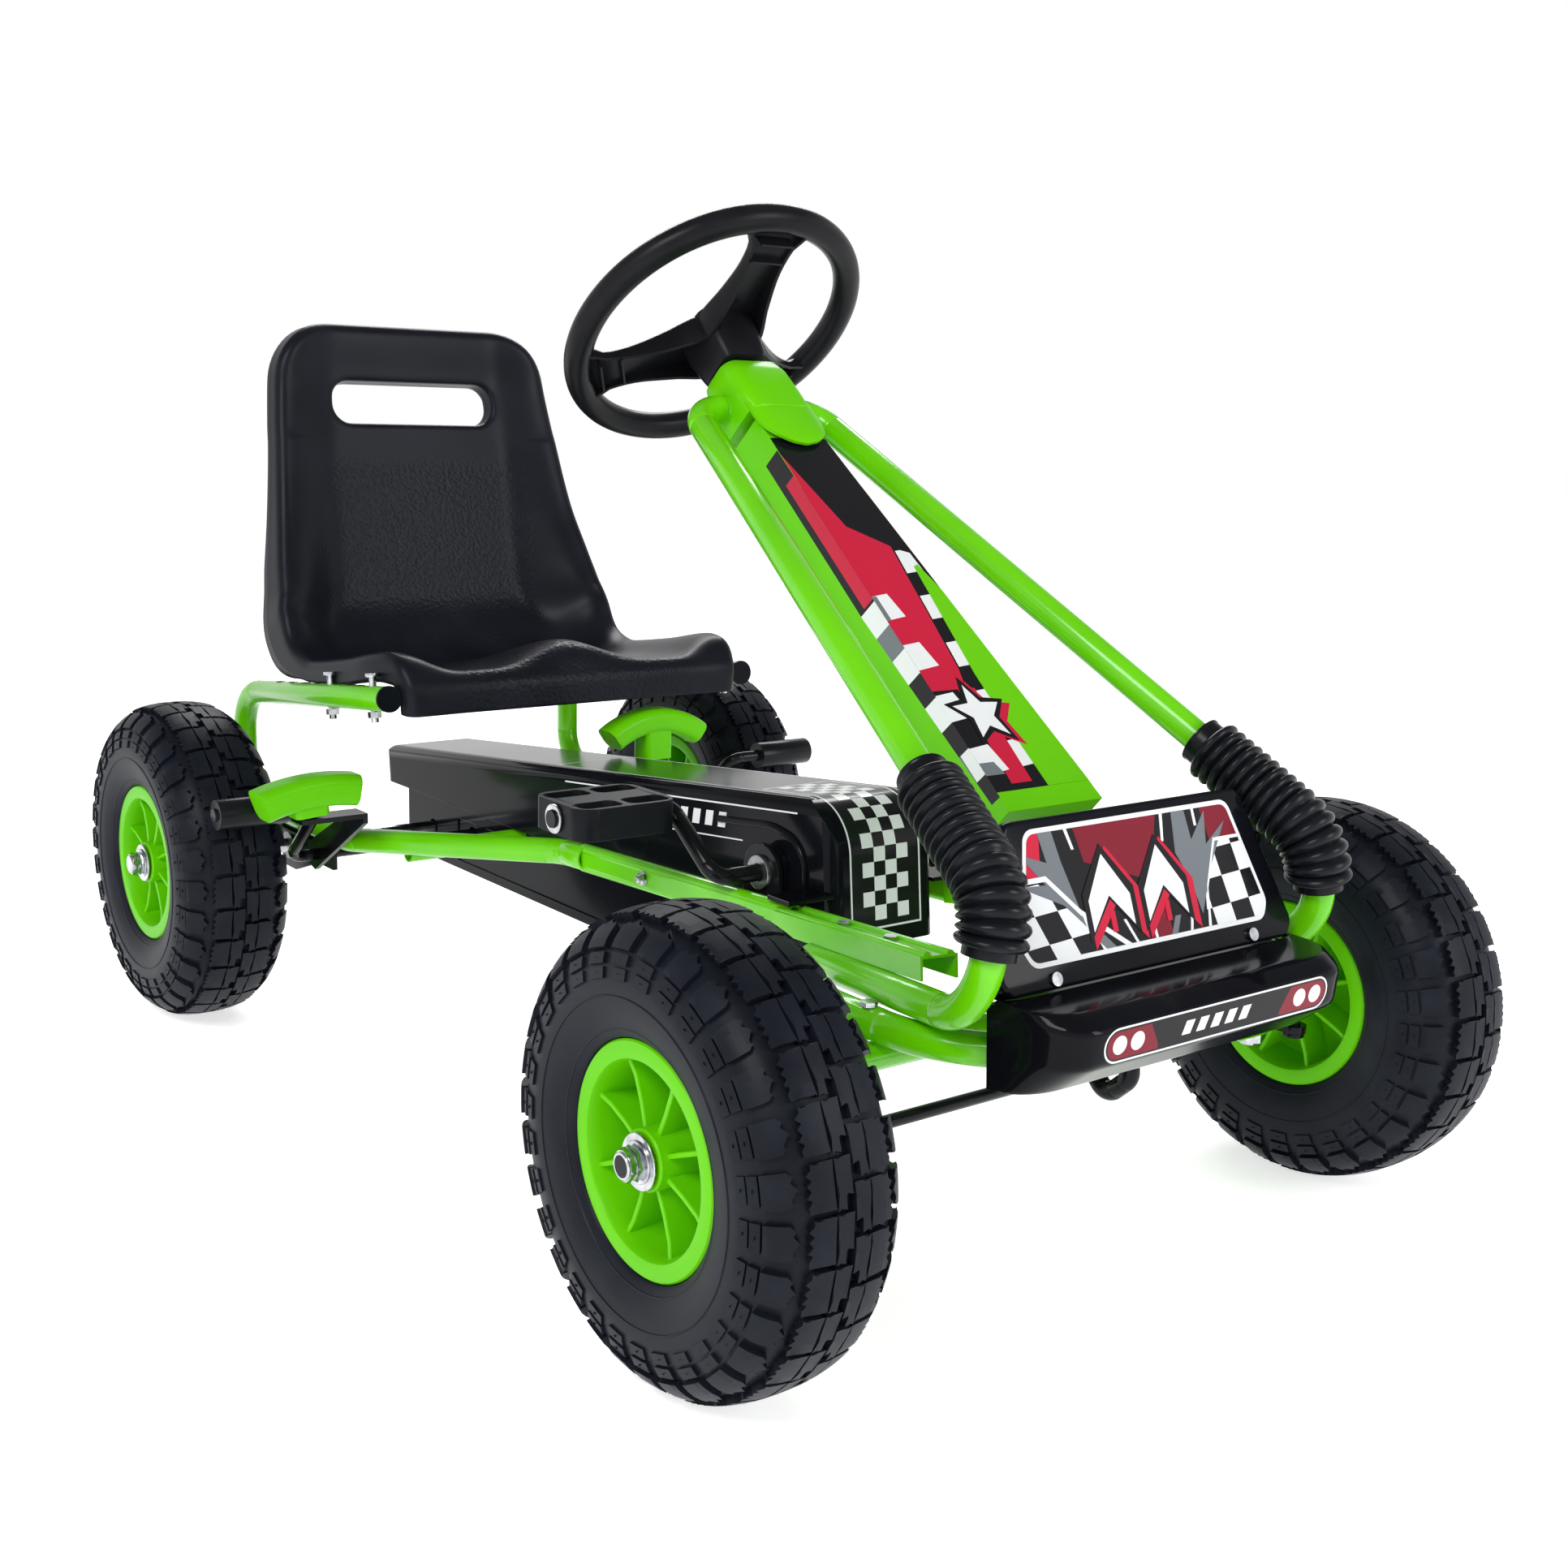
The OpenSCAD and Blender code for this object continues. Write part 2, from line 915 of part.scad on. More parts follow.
module seat_pan() {
  half_w = seat_w / 2;
  translate([seat_rail[0].x, 0, seat_rail[0].z + tube_r + 0.6])
    rotate([0, -rail_slope, 0])
      difference() {
        union() {
          translate([-262, -half_w, 0])
            cube([270, seat_w, pan_floor]);
          translate([-154, -half_w - 10, 0])
            cube([148, seat_w + 20, pan_floor]);
          for (s = [-1, 1])
            on_side(s)
              pan_side(half_w);
          translate([5, -half_w + 2, -24])
            cube([9, seat_w - 4, 54]);
        }
        for (s = [-1, 1])
          translate([14, s * half_w, 0])
            rotate(45)
              cube([18, 18, 80], center = true);
      }
}

// Raised side of the pan, set in where the bolts are
module pan_side(half_w) {
  translate([-262, half_w - 10, 1])
    cube([108, 10, 42]);
  translate([-160, half_w - 26, 1])
    cube([158, 9, 22]);
  translate([-7, half_w - 26, 1])
    cube([14, 24, 26]);
}

module seat() {
  color(black)
    difference() {
      union() {
        seat_back();
        seat_pan();
      }
      for (s = [-1, 1])
        on_side(s)
          at_rail_bolts()
            translate([0, 0, -20])
              cylinder(h = 80, r = 3.1);
    }
}

// Seat bolts, with their heads in the pan and their nuts under the rails
module seat_bolts() {
  color(steel)
    for (s = [-1, 1])
      on_side(s)
        at_rail_bolts()
          translate([0, 0, 17])
            seat_bolt();
}

module seat_bolt() {
  cylinder(h = 3, r = 5.5);
  translate([0, 0, -36])
    cylinder(h = 36, r = 3);
  translate([0, 0, -32.4])
    cylinder(h = 4.8, r = 5.4, $fn = 6);
}

// Plugs in the open front ends of the seat rails
module rail_caps() {
  color(black)
    for (s = [-1, 1])
      on_side(s)
        translate([seat_rail[0].x, rail_y, seat_rail[0].z])
          rotate([0, 90 - rail_slope, 0]) {
            cylinder(h = 3, r = tube_r + 0.5);
            translate([0, 0, -14])
              cylinder(h = 14, r = tube_r - tube_wall - 0.02);
          }
}

// ---------- Brackets ----------

// Folded plates that hang the rear axle and the brake bar under the floor runs
module rear_brackets() {
  color(black)
    for (s = [-1, 1])
      on_side(s)
        rear_bracket();
}

module rear_bracket() {
  difference() {
    union() {
      slab_between(rail_y - 2, rail_y + 2)
        polygon([[-398, 122], [-388, 112], [-368, 112], [-320, 128], [-290, 128],
                 [-290, 149.6], [-398, 148.6]]);
      translate([-398, rail_y - 12, 146])
        cube([108, 20, 2.5]);
    }
    translate([rear_axle_x, rail_y - 20, tyre_r])
      along_y()
        cylinder(h = 40, r = 12.02);
    translate([brake_pivot.x, rail_y - 20, brake_pivot.z])
      along_y()
        cylinder(h = 40, r = 5 + fit);
  }
}

// Solid with an outline in the XZ plane, from y0 to y1
module slab_between(y0, y1) {
  translate([0, y1, 0])
    rotate([90, 0, 0])
      linear_extrude(y1 - y0)
        children();
}

// Plates on the inside of the floor runs that hold the crank's bushes
module crank_brackets() {
  color(black)
    for (s = [-1, 1])
      on_side(s)
        difference() {
          union() {
            translate([crank_axis.x - 20, 52, 178])
              cube([40, 4, crank_axis.z - 178]);
            translate([crank_axis.x, 52, crank_axis.z])
              along_y()
                cylinder(h = 4, r = 20);
            translate([crank_axis.x - 20, 52, 178])
              cube([40, 16.98, 4]);
          }
          translate([crank_axis.x, 50, crank_axis.z])
            along_y()
              cylinder(h = 20, r = 12.02);
        }
}

// ---------- Steering ----------

module steering_wheel() {
  ring_r = (wheel_rim_d - wheel_rim_t) / 2;
  color(black)
    on_column()
      difference() {
        union() {
          rotate_extrude()
            translate([ring_r, 0])
              circle(wheel_rim_t / 2);
          for (a = [0, 120, 240])
            rotate(a)
              spoke(ring_r);
          translate([0, 0, -22])
            cylinder(h = 22, r = 27);
          translate([0, 0, -42])
            cylinder(h = 24, r = 19);
        }
        translate([0, 0, -60])
          cylinder(h = 50, r = shaft_r + fit);
      }
}

// Flat spoke from the hub up to the wheel rim
module spoke(reach) {
  translate([0, 0, -14])
    linear_extrude(12)
      polygon([[10, -22], [60, -15], [reach - 2, -19], [reach - 2, 19], [60, 15], [10, 22]]);
}

// Steering shaft, bent into a hook at its foot that moves both tie rods
crank_pin_len = 34;

module steering_shaft() {
  color(steel)
    on_column()
      bent_rod([[0, 0, -14], [0, 0, -column_foot], [crank_offset, 0, -column_foot],
                [crank_offset, 0, -column_foot + crank_pin_len]], [9, 9], shaft_r);
}

// Knuckle: kingpin sleeve, stub axle and steering arm
module spindle(side) {
  color(black)
    on_side(side)
      difference() {
        union() {
          translate([front_axle_x, kingpin_y, sleeve_low])
            cylinder(h = sleeve_high - sleeve_low, r = sleeve_r);
          rod([front_axle_x, kingpin_y + 4, tyre_r], [front_axle_x, axle_end_y, tyre_r], shaft_r);
          rod([front_axle_x, kingpin_y + 4, tyre_r], [front_axle_x, kingpin_y + 26, tyre_r], 9);
          translate([front_axle_x, kingpin_y - 8, arm_z - 2.5])
            cube([arm_length, 16, 5]);
          translate([front_axle_x + arm_length, kingpin_y, arm_z - 2.5])
            cylinder(h = 5, r = 8);
        }
        translate([front_axle_x, kingpin_y, sleeve_low - 10])
          cylinder(h = 60, r = shaft_r + fit);
        translate([front_axle_x + arm_length, kingpin_y, arm_z - 10])
          cylinder(h = 20, r = 4 + fit);
      }
}

// Nut and washer on the end of a stub axle
module axle_nut() {
  along_y()
    difference() {
      union() {
        cylinder(h = 2, r = 16);
        translate([0, 0, 2])
          cylinder(h = 7, r = 10, $fn = 6);
      }
      translate([0, 0, -1])
        cylinder(h = 20, r = shaft_r + 0.02);
    }
}

module front_nut(side) {
  color(steel)
    on_side(side)
      translate([front_axle_x, wheel_y + 36, tyre_r])
        axle_nut();
}

// Tie rod from a steering arm to the hook of the steering shaft
eye_steps = [12, 22];
rod_z = arm_z + 12;

module tie_rod(side) {
  outer = [front_axle_x + arm_length, side * kingpin_y, 0];
  pin_z = -column_foot + eye_steps[side > 0 ? 1 : 0];
  eye = column_point([crank_offset, 0, pin_z]);
  neck = column_point([crank_offset - 2, side * 11, pin_z]);
  color(black) {
    difference() {
      union() {
        bent_rod([outer + [0, 0, arm_z - 3.5], outer + [0, 0, rod_z],
                  [outer.x, side * 34, rod_z], neck], [9, 16], 4);
        on_column()
          translate([crank_offset, 0, pin_z - 2.5])
            cylinder(h = 5, r = 13);
      }
      on_column()
        translate([crank_offset, 0, pin_z - 12])
          cylinder(h = 24, r = shaft_r + 2.4);
    }
    translate(outer + [0, 0, arm_z - 5.5])
      cylinder(h = 2.5, r = 7);
  }
}

// Point in the kart's frame for a point in the column's frame
function column_point(p) =
  wheel_centre + [p.x * cos(column_rake) - p.z * sin(column_rake), p.y,
                  p.x * sin(column_rake) + p.z * cos(column_rake)];

// ---------- Wheels ----------

// Section of the tyre: local X is the radius, local Y runs across the wheel
module tyre_section(inset) {
  half_w = tyre_w / 2 - inset;
  bead = rim_d / 2 - 8;
  intersection() {
    union() {
      translate([tyre_r - inset - 26, 0])
        soft_square(52, 2 * half_w - 8, 16);
      translate([tyre_r - 36, 0])
        soft_square(46, 2 * half_w, 18);
      translate([(bead + tyre_r - 30) / 2, 0])
        square([tyre_r - 30 - bead, 2 * half_w - 22 - (inset > 0 ? 4 : 0)], center = true);
    }
    translate([bead, -60])
      square([tyre_r - inset - bead, 120]);
  }
}

module tyre() {
  color(rubber)
    along_y()
      rotate_extrude($fn = 96)
        difference() {
          tyre_section(0);
          tyre_section(6);
          translate([rim_d / 2 - 20, -25])
            square([30, 50]);
          translate([rim_d / 2 - 20, -60])
            square([20 + 0.4, 120]);
        }
}

// Puts the origin at the tip of the valve, with +Z along it into the tyre
module on_valve() {
  rotate([0, 45, 0])
    translate([0, 44, 0])
      rotate([30, 0, 0])
        translate([0, 0, 50])
          children();
}

// Air tube with its valve through the rim
module inner_tube() {
  color(rubber)
    difference() {
      union() {
        along_y()
          rotate_extrude($fn = 96)
            translate([95, 0])
              difference() {
                soft_square(46, 56, 20);
                soft_square(42, 52, 18);
              }
        on_valve()
          cylinder(h = 36, r = 3.6);
      }
      on_valve()
        translate([0, 0, -1])
          cylinder(h = 39, r = 1.6);
    }
}

// Rim with two dished faces of thin ribs around a tubular hub
module rim(bore_r) {
  flange_r = rim_d / 2;
  half_w = 35.7;
  color(green)
    difference() {
      union() {
        along_y()
          rotate_extrude($fn = 96)
            union() {
              translate([flange_r - 12, -half_w])
                square([4, 2 * half_w]);
              for (s = [-1, 1])
                translate([flange_r - 12, s * (half_w - 1.75) - 1.75])
                  square([12, 3.5]);
              translate([14, -5])
                square([flange_r - 24, 10]);
              translate([bore_r, -half_w])
                square([17 - bore_r, 2 * half_w]);
            }
        for (i = [0:rib_count - 1])
          rotate([0, (i + 0.5) * 360 / rib_count, 0])
            translate([15, -half_w + 6, -1.4])
              cube([flange_r - 26, 2 * half_w - 12, 2.8]);
      }
      on_valve()
        cylinder(h = 30, r = 4.2);
    }
}

module at_wheel(x, side) {
  translate([x, side * wheel_y, tyre_r])
    on_side(side)
      children();
}

// ---------- Rear axle ----------

module rear_axle() {
  color(steel)
    rod([rear_axle_x, -axle_end_y, tyre_r], [rear_axle_x, axle_end_y, tyre_r], shaft_r);
}

module rear_sprocket() {
  color("dimgray")
    translate(axle_centre) {
      sprocket(axle_teeth, shaft_r + fit);
      sprocket_collar();
    }
}

module rear_axle_nuts() {
  color(steel)
    for (s = [-1, 1])
      translate([rear_axle_x, s * (wheel_y + 36), tyre_r])
        on_side(s)
          axle_nut();
}

// ---------- Crank and pedals ----------

module crank_rod() {
  a = crank_axis + arm_offset;
  b = crank_axis - arm_offset;
  color(black)
    bent_rod([[a.x, -pin_end_y, a.z], [a.x, -crank_plane_y, a.z],
              [crank_axis.x, -crank_plane_y, crank_axis.z],
              [crank_axis.x, crank_plane_y, crank_axis.z],
              [b.x, crank_plane_y, b.z], [b.x, pin_end_y, b.z]], [12, 12, 12, 12], shaft_r);
}

module crank_sprocket() {
  color("dimgray")
    translate(crank_axis) {
      sprocket(crank_teeth, shaft_r + fit);
      sprocket_collar();
    }
}

// Washers and push caps that keep the pedals on their pins
module crank_washers() {
  color(steel)
    for (s = [-1, 1]) {
      pin = crank_axis - s * arm_offset;
      for (y = [pedal_y - pedal_w / 2 - 2.3, pedal_y + pedal_w / 2 + 0.3])
        translate([pin.x, s * (y + 1), pin.z])
          translate([0, -1, 0])
            along_y()
              ring(10, shaft_r + 0.08, 2);
    }
}

// Pedal cage: a frame with four windows around a tube for the pin
module pedal(side) {
  pin = crank_axis - side * arm_offset;
  window_x = (pedal_len / 2 - 11 - 4);
  window_y = (pedal_w - 14) / 2;
  color(black)
    translate([pin.x, side * pedal_y, pin.z])
      difference() {
        union() {
          difference() {
            translate([0, 0, -pedal_t / 2])
              linear_extrude(pedal_t)
                soft_square(pedal_len, pedal_w, 14);
            for (x = [-1, 1], y = [-1, 1])
              translate([x * (11 + window_x / 2), y * (2.5 + window_y / 2), -pedal_t])
                linear_extrude(2 * pedal_t)
                  soft_square(window_x, window_y, 6);
          }
          translate([0, -pedal_w / 2, 0])
            along_y()
              cylinder(h = pedal_w, r = 11);
        }
        translate([0, -pedal_w, 0])
          along_y()
            cylinder(h = 2 * pedal_w, r = shaft_r + fit);
      }
}

// ---------- Brake ----------

// Grip shaped like the top bar of a T, with its ends swept down; length runs along local Y
module t_grip(len, dip, bar_tall, bar_deep, stem) {
  sweep_r = (len * len / 4 + dip * dip) / (2 * dip);
  half = asin(len / 2 / sweep_r);
  translate([0, 0, -sweep_r])
    rotate([90, 0, 90])
      rotate(90 - half)
        rotate_extrude(angle = 2 * half, $fn = 128)
          translate([sweep_r, 0])
            soft_square(bar_tall, bar_deep, 8);
  translate([0, 0, -stem])
    linear_extrude(stem - 4)
      soft_square(22, 28, 5);
}

brake_grip_top = [-210, -228, 216];

// Cross bar on the rear brackets, with both ends bent up to the tyres and the pull lever
module brake_bar() {
  reach = sleeve_axis - brake_pivot;
  color(black) {
    bent_rod([[sleeve_axis.x, -292, sleeve_axis.z], [sleeve_axis.x, -203, sleeve_axis.z],
              [brake_pivot.x, -203, brake_pivot.z], [brake_pivot.x, 203, brake_pivot.z],
              [sleeve_axis.x, 203, sleeve_axis.z], [sleeve_axis.x, 292, sleeve_axis.z]],
             [12, 12, 12, 12], 5);
    brake_lever();
  }
}

// Flat lever from the bar to the grip, with a shelf and a tongue at its top
brake_lever_top = brake_grip_top - [3, 0, 27];

module brake_lever() {
  top = brake_lever_top;
  translate([0, -183, 0])
    slab_xz(2)
      polygon([[brake_pivot.x - 10, brake_pivot.z - 6], [brake_pivot.x + 8, brake_pivot.z - 11],
               [top.x + 12, top.z - 2], [top.x + 12, top.z + 6], [top.x - 10, top.z + 6],
               [brake_pivot.x - 4, brake_pivot.z + 11]]);
  translate([top.x - 10, -236, top.z + 2])
    cube([22, 55, 4]);
  brake_tongue(0);
}

// Tongue inside the grip, grown by k on each side for the hole it sits in
module brake_tongue(k) {
  translate([brake_lever_top.x - 6 - k, brake_lever_top.y - 6 - k, brake_lever_top.z + 2])
    cube([12 + 2 * k, 12 + 2 * k, 24 + k]);
}

module brake_grip() {
  color(green)
    difference() {
      translate(brake_grip_top)
        rotate([5, 0, 0])
          t_grip(78, 5, 25, 30, 19);
      brake_tongue(0.1);
    }
}

module brake_sleeves() {
  color(rubber)
    for (s = [-1, 1])
      translate([sleeve_axis.x, s * 261.5 - 28.5, sleeve_axis.z])
        along_y()
          ring(12, 5.02, 57);
}

// ---------- Gear lever ----------

gear_grip_top = [-187, 80, 262];

module gear_post() {
  color(black) {
    gear_stem(0);
    translate(gear_pivot - [0, 6, 0])
      along_y()
        cylinder(h = 12, r = 8.5);
    translate(gear_pivot - [0, 13, 0])
      along_y()
        cylinder(h = 26, r = 4);
  }
}

// Square post from the pivot into the grip, grown by k on each side for the hole it sits in
module gear_stem(k) {
  stand_along(gear_pivot, gear_grip_top - [0, 0, 20])
    translate([-6 - k, -6 - k, 0])
      cube([12 + 2 * k, 12 + 2 * k, 62 + k]);
}

module gear_grip() {
  color(green)
    difference() {
      translate(gear_grip_top - [0, 0, 10])
        t_grip(88, 14, 21, 27, 33);
      gear_stem(0.1);
    }
}

main_tube(-1);  // main_tube_right
main_tube(1);  // main_tube_left
front_leg(-1);  // front_tube_right
front_leg(1);  // front_tube_left
head_tube();
column_cover();
column_cap();
hoop_tube();
front_axle_beam();
cross_tube();
kingpins();
frame_bolts();
bushes();
bellows(-1);  // bellows_right
bellows(1);  // bellows_left
front_panel();
bumper();
panel_screws();
chain_guard_upper();
chain_guard_lower();
chain();
seat();
seat_bolts();
rail_caps();
rear_brackets();
crank_brackets();
steering_wheel();
steering_shaft();
spindle(-1);  // spindle_right
spindle(1);  // spindle_left
front_nut(-1);  // front_nut_right
front_nut(1);  // front_nut_left
tie_rod(-1);  // tie_rod_right
tie_rod(1);  // tie_rod_left
at_wheel(front_axle_x, -1) tyre();  // tyre_front_right
at_wheel(front_axle_x, -1) inner_tube();  // inner_tube_front_right
at_wheel(front_axle_x, -1) rim(shaft_r + fit);  // rim_front_right
at_wheel(front_axle_x, 1) tyre();  // tyre_front_left
at_wheel(front_axle_x, 1) inner_tube();  // inner_tube_front_left
at_wheel(front_axle_x, 1) rim(shaft_r + fit);  // rim_front_left
at_wheel(rear_axle_x, -1) tyre();  // tyre_rear_right
at_wheel(rear_axle_x, -1) inner_tube();  // inner_tube_rear_right
at_wheel(rear_axle_x, -1) rim(shaft_r + fit);  // rim_rear_right
at_wheel(rear_axle_x, 1) tyre();  // tyre_rear_left
at_wheel(rear_axle_x, 1) inner_tube();  // inner_tube_rear_left
at_wheel(rear_axle_x, 1) rim(shaft_r + fit);  // rim_rear_left
rear_axle();
rear_sprocket();
rear_axle_nuts();
crank_rod();
crank_sprocket();
crank_washers();
pedal(-1);  // pedal_right
pedal(1);  // pedal_left
brake_bar();
brake_grip();
brake_sleeves();
gear_post();
gear_grip();
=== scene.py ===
"""Looks of the pedal go kart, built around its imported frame. Shapes are given in millimetres."""

import json
import math

import bmesh
import bpy
from mathutils import Matrix, Vector


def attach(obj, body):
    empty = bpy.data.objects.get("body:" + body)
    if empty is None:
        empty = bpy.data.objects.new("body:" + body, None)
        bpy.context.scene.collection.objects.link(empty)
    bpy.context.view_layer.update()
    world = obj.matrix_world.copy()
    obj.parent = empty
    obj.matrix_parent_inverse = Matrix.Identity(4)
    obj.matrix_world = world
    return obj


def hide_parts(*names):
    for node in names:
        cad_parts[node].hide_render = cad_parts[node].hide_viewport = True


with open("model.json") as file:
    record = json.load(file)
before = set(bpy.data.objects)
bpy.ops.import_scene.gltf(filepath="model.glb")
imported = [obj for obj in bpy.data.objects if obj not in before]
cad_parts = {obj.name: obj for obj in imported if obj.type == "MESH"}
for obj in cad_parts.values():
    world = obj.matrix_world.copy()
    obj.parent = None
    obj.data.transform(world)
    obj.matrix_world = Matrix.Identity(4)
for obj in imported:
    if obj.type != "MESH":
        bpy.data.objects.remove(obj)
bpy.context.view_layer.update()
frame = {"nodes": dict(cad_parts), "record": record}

MM = 0.001
SIDES = {"right": -1, "left": 1}


# ---------- Camera, floor and light ----------

def make_camera():
    """Camera at three quarters from the front right, a little above the seat."""
    azimuth, elevation, roll = 0.91029836, 0.19810555, 0.02882865
    ahead = Vector((-math.sin(azimuth) * math.cos(elevation), math.cos(azimuth) * math.cos(elevation),
                    -math.sin(elevation)))
    level = Vector((math.cos(azimuth), math.sin(azimuth), 0))
    above = level.cross(ahead)
    right = level * math.cos(roll) + above * math.sin(roll)
    up = above * math.cos(roll) - level * math.sin(roll)
    data = bpy.data.cameras.new("camera")
    data.lens = 42.605
    data.sensor_width = 36
    camera = bpy.data.objects.new("camera", data)
    camera.matrix_world = Matrix.Translation((1.13709, -0.80321, 0.51716)) @ Matrix(
        (right, up, -ahead)).transposed().to_4x4()
    bpy.context.collection.objects.link(camera)
    bpy.context.scene.camera = camera


def make_light(name, place, size, power, aim=(0, 0, 0.25)):
    data = bpy.data.lights.new(name, "AREA")
    data.shape = "RECTANGLE"
    data.size, data.size_y = size
    data.energy = power
    light = bpy.data.objects.new(name, data)
    light.location = place
    light.rotation_euler = (Vector(aim) - Vector(place)).to_track_quat("-Z", "Y").to_euler()
    bpy.context.collection.objects.link(light)


def make_floor():
    """White floor that glows a little, so that it runs into the white around it."""
    material = bpy.data.materials.new("floor")
    material.use_nodes = True
    shader = material.node_tree.nodes["Principled BSDF"]
    shader.inputs["Base Color"].default_value = (0.92, 0.92, 0.92, 1)
    shader.inputs["Roughness"].default_value = 0.75
    shader.inputs["Emission Color"].default_value = (1, 1, 1, 1)
    shader.inputs["Emission Strength"].default_value = 0.66
    mesh = bpy.data.meshes.new("floor")
    mesh.from_pydata([(-14, -14, 0), (14, -14, 0), (14, 14, 0), (-14, 14, 0)], [], [(0, 1, 2, 3)])
    mesh.materials.append(material)
    floor = bpy.data.objects.new("floor", mesh)
    bpy.context.collection.objects.link(floor)


def add(tree, kind, **values):
    """Adds a node; a value sets or feeds the input with that name, or else a property of the node."""
    node = tree.nodes.new(kind)
    for key, value in values.items():
        name = key.replace("_", " ").title()
        if isinstance(value, bpy.types.NodeSocket):
            tree.links.new(value, node.inputs[name])
        elif name in node.inputs:
            node.inputs[name].default_value = value
        else:
            setattr(node, key, value)
    return node


def make_world():
    """White studio walls under a darker ceiling, so that black parts stay black on top."""
    world = bpy.data.worlds.new("studio")
    world.use_nodes = True
    tree = world.node_tree
    place = add(tree, "ShaderNodeTexCoord").outputs["Generated"]
    split = add(tree, "ShaderNodeSeparateXYZ", vector=place)
    strength = add(tree, "ShaderNodeMapRange", value=split.outputs["Z"], interpolation_type="SMOOTHSTEP",
                   from_min=0.28, from_max=0.62, to_min=1.0, to_max=0.22)
    tree.links.new(strength.outputs["Result"], tree.nodes["Background"].inputs["Strength"])
    tree.nodes["Background"].inputs["Color"].default_value = (1, 1, 1, 1)
    bpy.context.scene.world = world
    bpy.context.scene.view_settings.view_transform = "Standard"


make_camera()
make_floor()
make_world()
make_light("key", (1.4, -2.4, 2.5), (1.6, 1.1), 62)
make_light("fill", (2.8, 1.2, 1.4), (0.9, 1.5), 30)
make_light("rim", (-2.2, 1.4, 2.3), (2.0, 0.7), 48)


# ---------- Materials ----------

def surface(name, dark, light, rough, grain, grain_scale, bump, bump_depth, metallic=0, coat=0, shine=0.1):
    """Material whose colour and roughness drift between two values, with a fine grain bump_depth mm deep."""
    material = bpy.data.materials.new(name)
    material.use_nodes = True
    tree = material.node_tree
    shader = tree.nodes["Principled BSDF"]
    for key, value in (("Metallic", metallic), ("Specular IOR Level", shine), ("Coat Weight", coat),
                       ("Coat Roughness", 0.08)):
        shader.inputs[key].default_value = value
    place = add(tree, "ShaderNodeTexCoord").outputs["Object"]
    drift = add(tree, "ShaderNodeTexNoise", vector=place, scale=grain_scale, detail=4.0).outputs["Fac"]
    colour = add(tree, "ShaderNodeValToRGB", fac=drift)
    for stop, position, shade in zip(colour.color_ramp.elements, (0.35, 0.7), (dark, light)):
        stop.position = position
        stop.color = (*shade, 1)
    gloss = add(tree, "ShaderNodeMapRange", value=drift, to_min=rough - grain, to_max=rough + grain)
    fine = add(tree, "ShaderNodeTexNoise", vector=place, scale=bump, detail=3.0).outputs["Fac"]
    relief = add(tree, "ShaderNodeBump", height=fine, strength=1.0, distance=bump_depth * MM)
    tree.links.new(colour.outputs["Color"], shader.inputs["Base Color"])
    tree.links.new(gloss.outputs["Result"], shader.inputs["Roughness"])
    tree.links.new(relief.outputs["Normal"], shader.inputs["Normal"])
    return material


def flat_ink(name, colour):
    """Glossy printed foil."""
    return surface(name, [c * 0.94 for c in colour], colour, 0.22, 0.04, 9, 900, 0.004, coat=0.1, shine=0.15)


PAINT = surface("green_paint", (0.125, 0.55, 0.001), (0.15, 0.62, 0.002), 0.24, 0.05, 14, 260, 0.03,
                coat=0.3, shine=0.3)
PLASTIC = surface("green_plastic", (0.115, 0.52, 0.001), (0.14, 0.58, 0.002), 0.33, 0.06, 10, 900, 0.03,
                  coat=0.05)
# Near-black rubber; the blue cast in the tyre's colour is a painted sheen.
TYRE = surface("tyre", (0.006, 0.007, 0.012), (0.011, 0.013, 0.021), 0.42, 0.08, 30, 1400, 0.05,
               shine=0.12)
RUBBER = surface("rubber", (0.005, 0.006, 0.008), (0.009, 0.010, 0.013), 0.27, 0.06, 26, 1100, 0.02,
                 shine=0.16)
GLOSS = surface("gloss_black", (0.004, 0.004, 0.006), (0.006, 0.007, 0.010), 0.14, 0.04, 12, 420, 0.015,
                coat=0.11, shine=0.05)
MATT = surface("matt_black", (0.006, 0.006, 0.008), (0.009, 0.010, 0.014), 0.36, 0.07, 18, 1500, 0.03)
BLACK_PAINT = surface("black_paint", (0.005, 0.005, 0.007), (0.009, 0.010, 0.012), 0.22, 0.06, 20, 500, 0.03,
                      coat=0.12)
PLATED = surface("plated_steel", (0.45, 0.46, 0.49), (0.66, 0.67, 0.70), 0.20, 0.09, 160, 1800, 0.02,
                 metallic=1, shine=0.5)
STEEL = surface("plain_steel", (0.28, 0.28, 0.30), (0.42, 0.42, 0.44), 0.34, 0.1, 120, 1500, 0.03,
                metallic=1, shine=0.5)
BY_SLOT = {"green_paint": PAINT, "green_plastic": PLASTIC, "tyre": TYRE, "rubber": RUBBER,
           "gloss_black": GLOSS, "matt_black": MATT, "black_paint": BLACK_PAINT, "plated_steel": PLATED,
           "plain_steel": STEEL}


def dress_cad_nodes():
    """Gives every CAD node the finish of its slot and soft edges."""
    for part in frame["record"]["subparts"]:
        node = frame["nodes"][part["node"]]
        for place in node.material_slots:
            place.material = BY_SLOT[part["material_slot"]]
        node.modifiers.new("join", "WELD").merge_threshold = 0.00001
        edge = node.modifiers.new("edge", "BEVEL")
        edge.width = 0.0005
        edge.segments = 2
        edge.limit_method = "ANGLE"
        edge.angle_limit = math.radians(40)


dress_cad_nodes()


# ---------- Mesh building ----------

def circle(r, count, centre=(0, 0)):
    """Flat outline of even points, anticlockwise from the right."""
    return [(centre[0] + r * math.cos(math.tau * i / count), centre[1] + r * math.sin(math.tau * i / count))
            for i in range(count)]


def turned(r, y, count):
    """Circle around Y."""
    return [(x, y, z) for z, x in circle(r, count)]


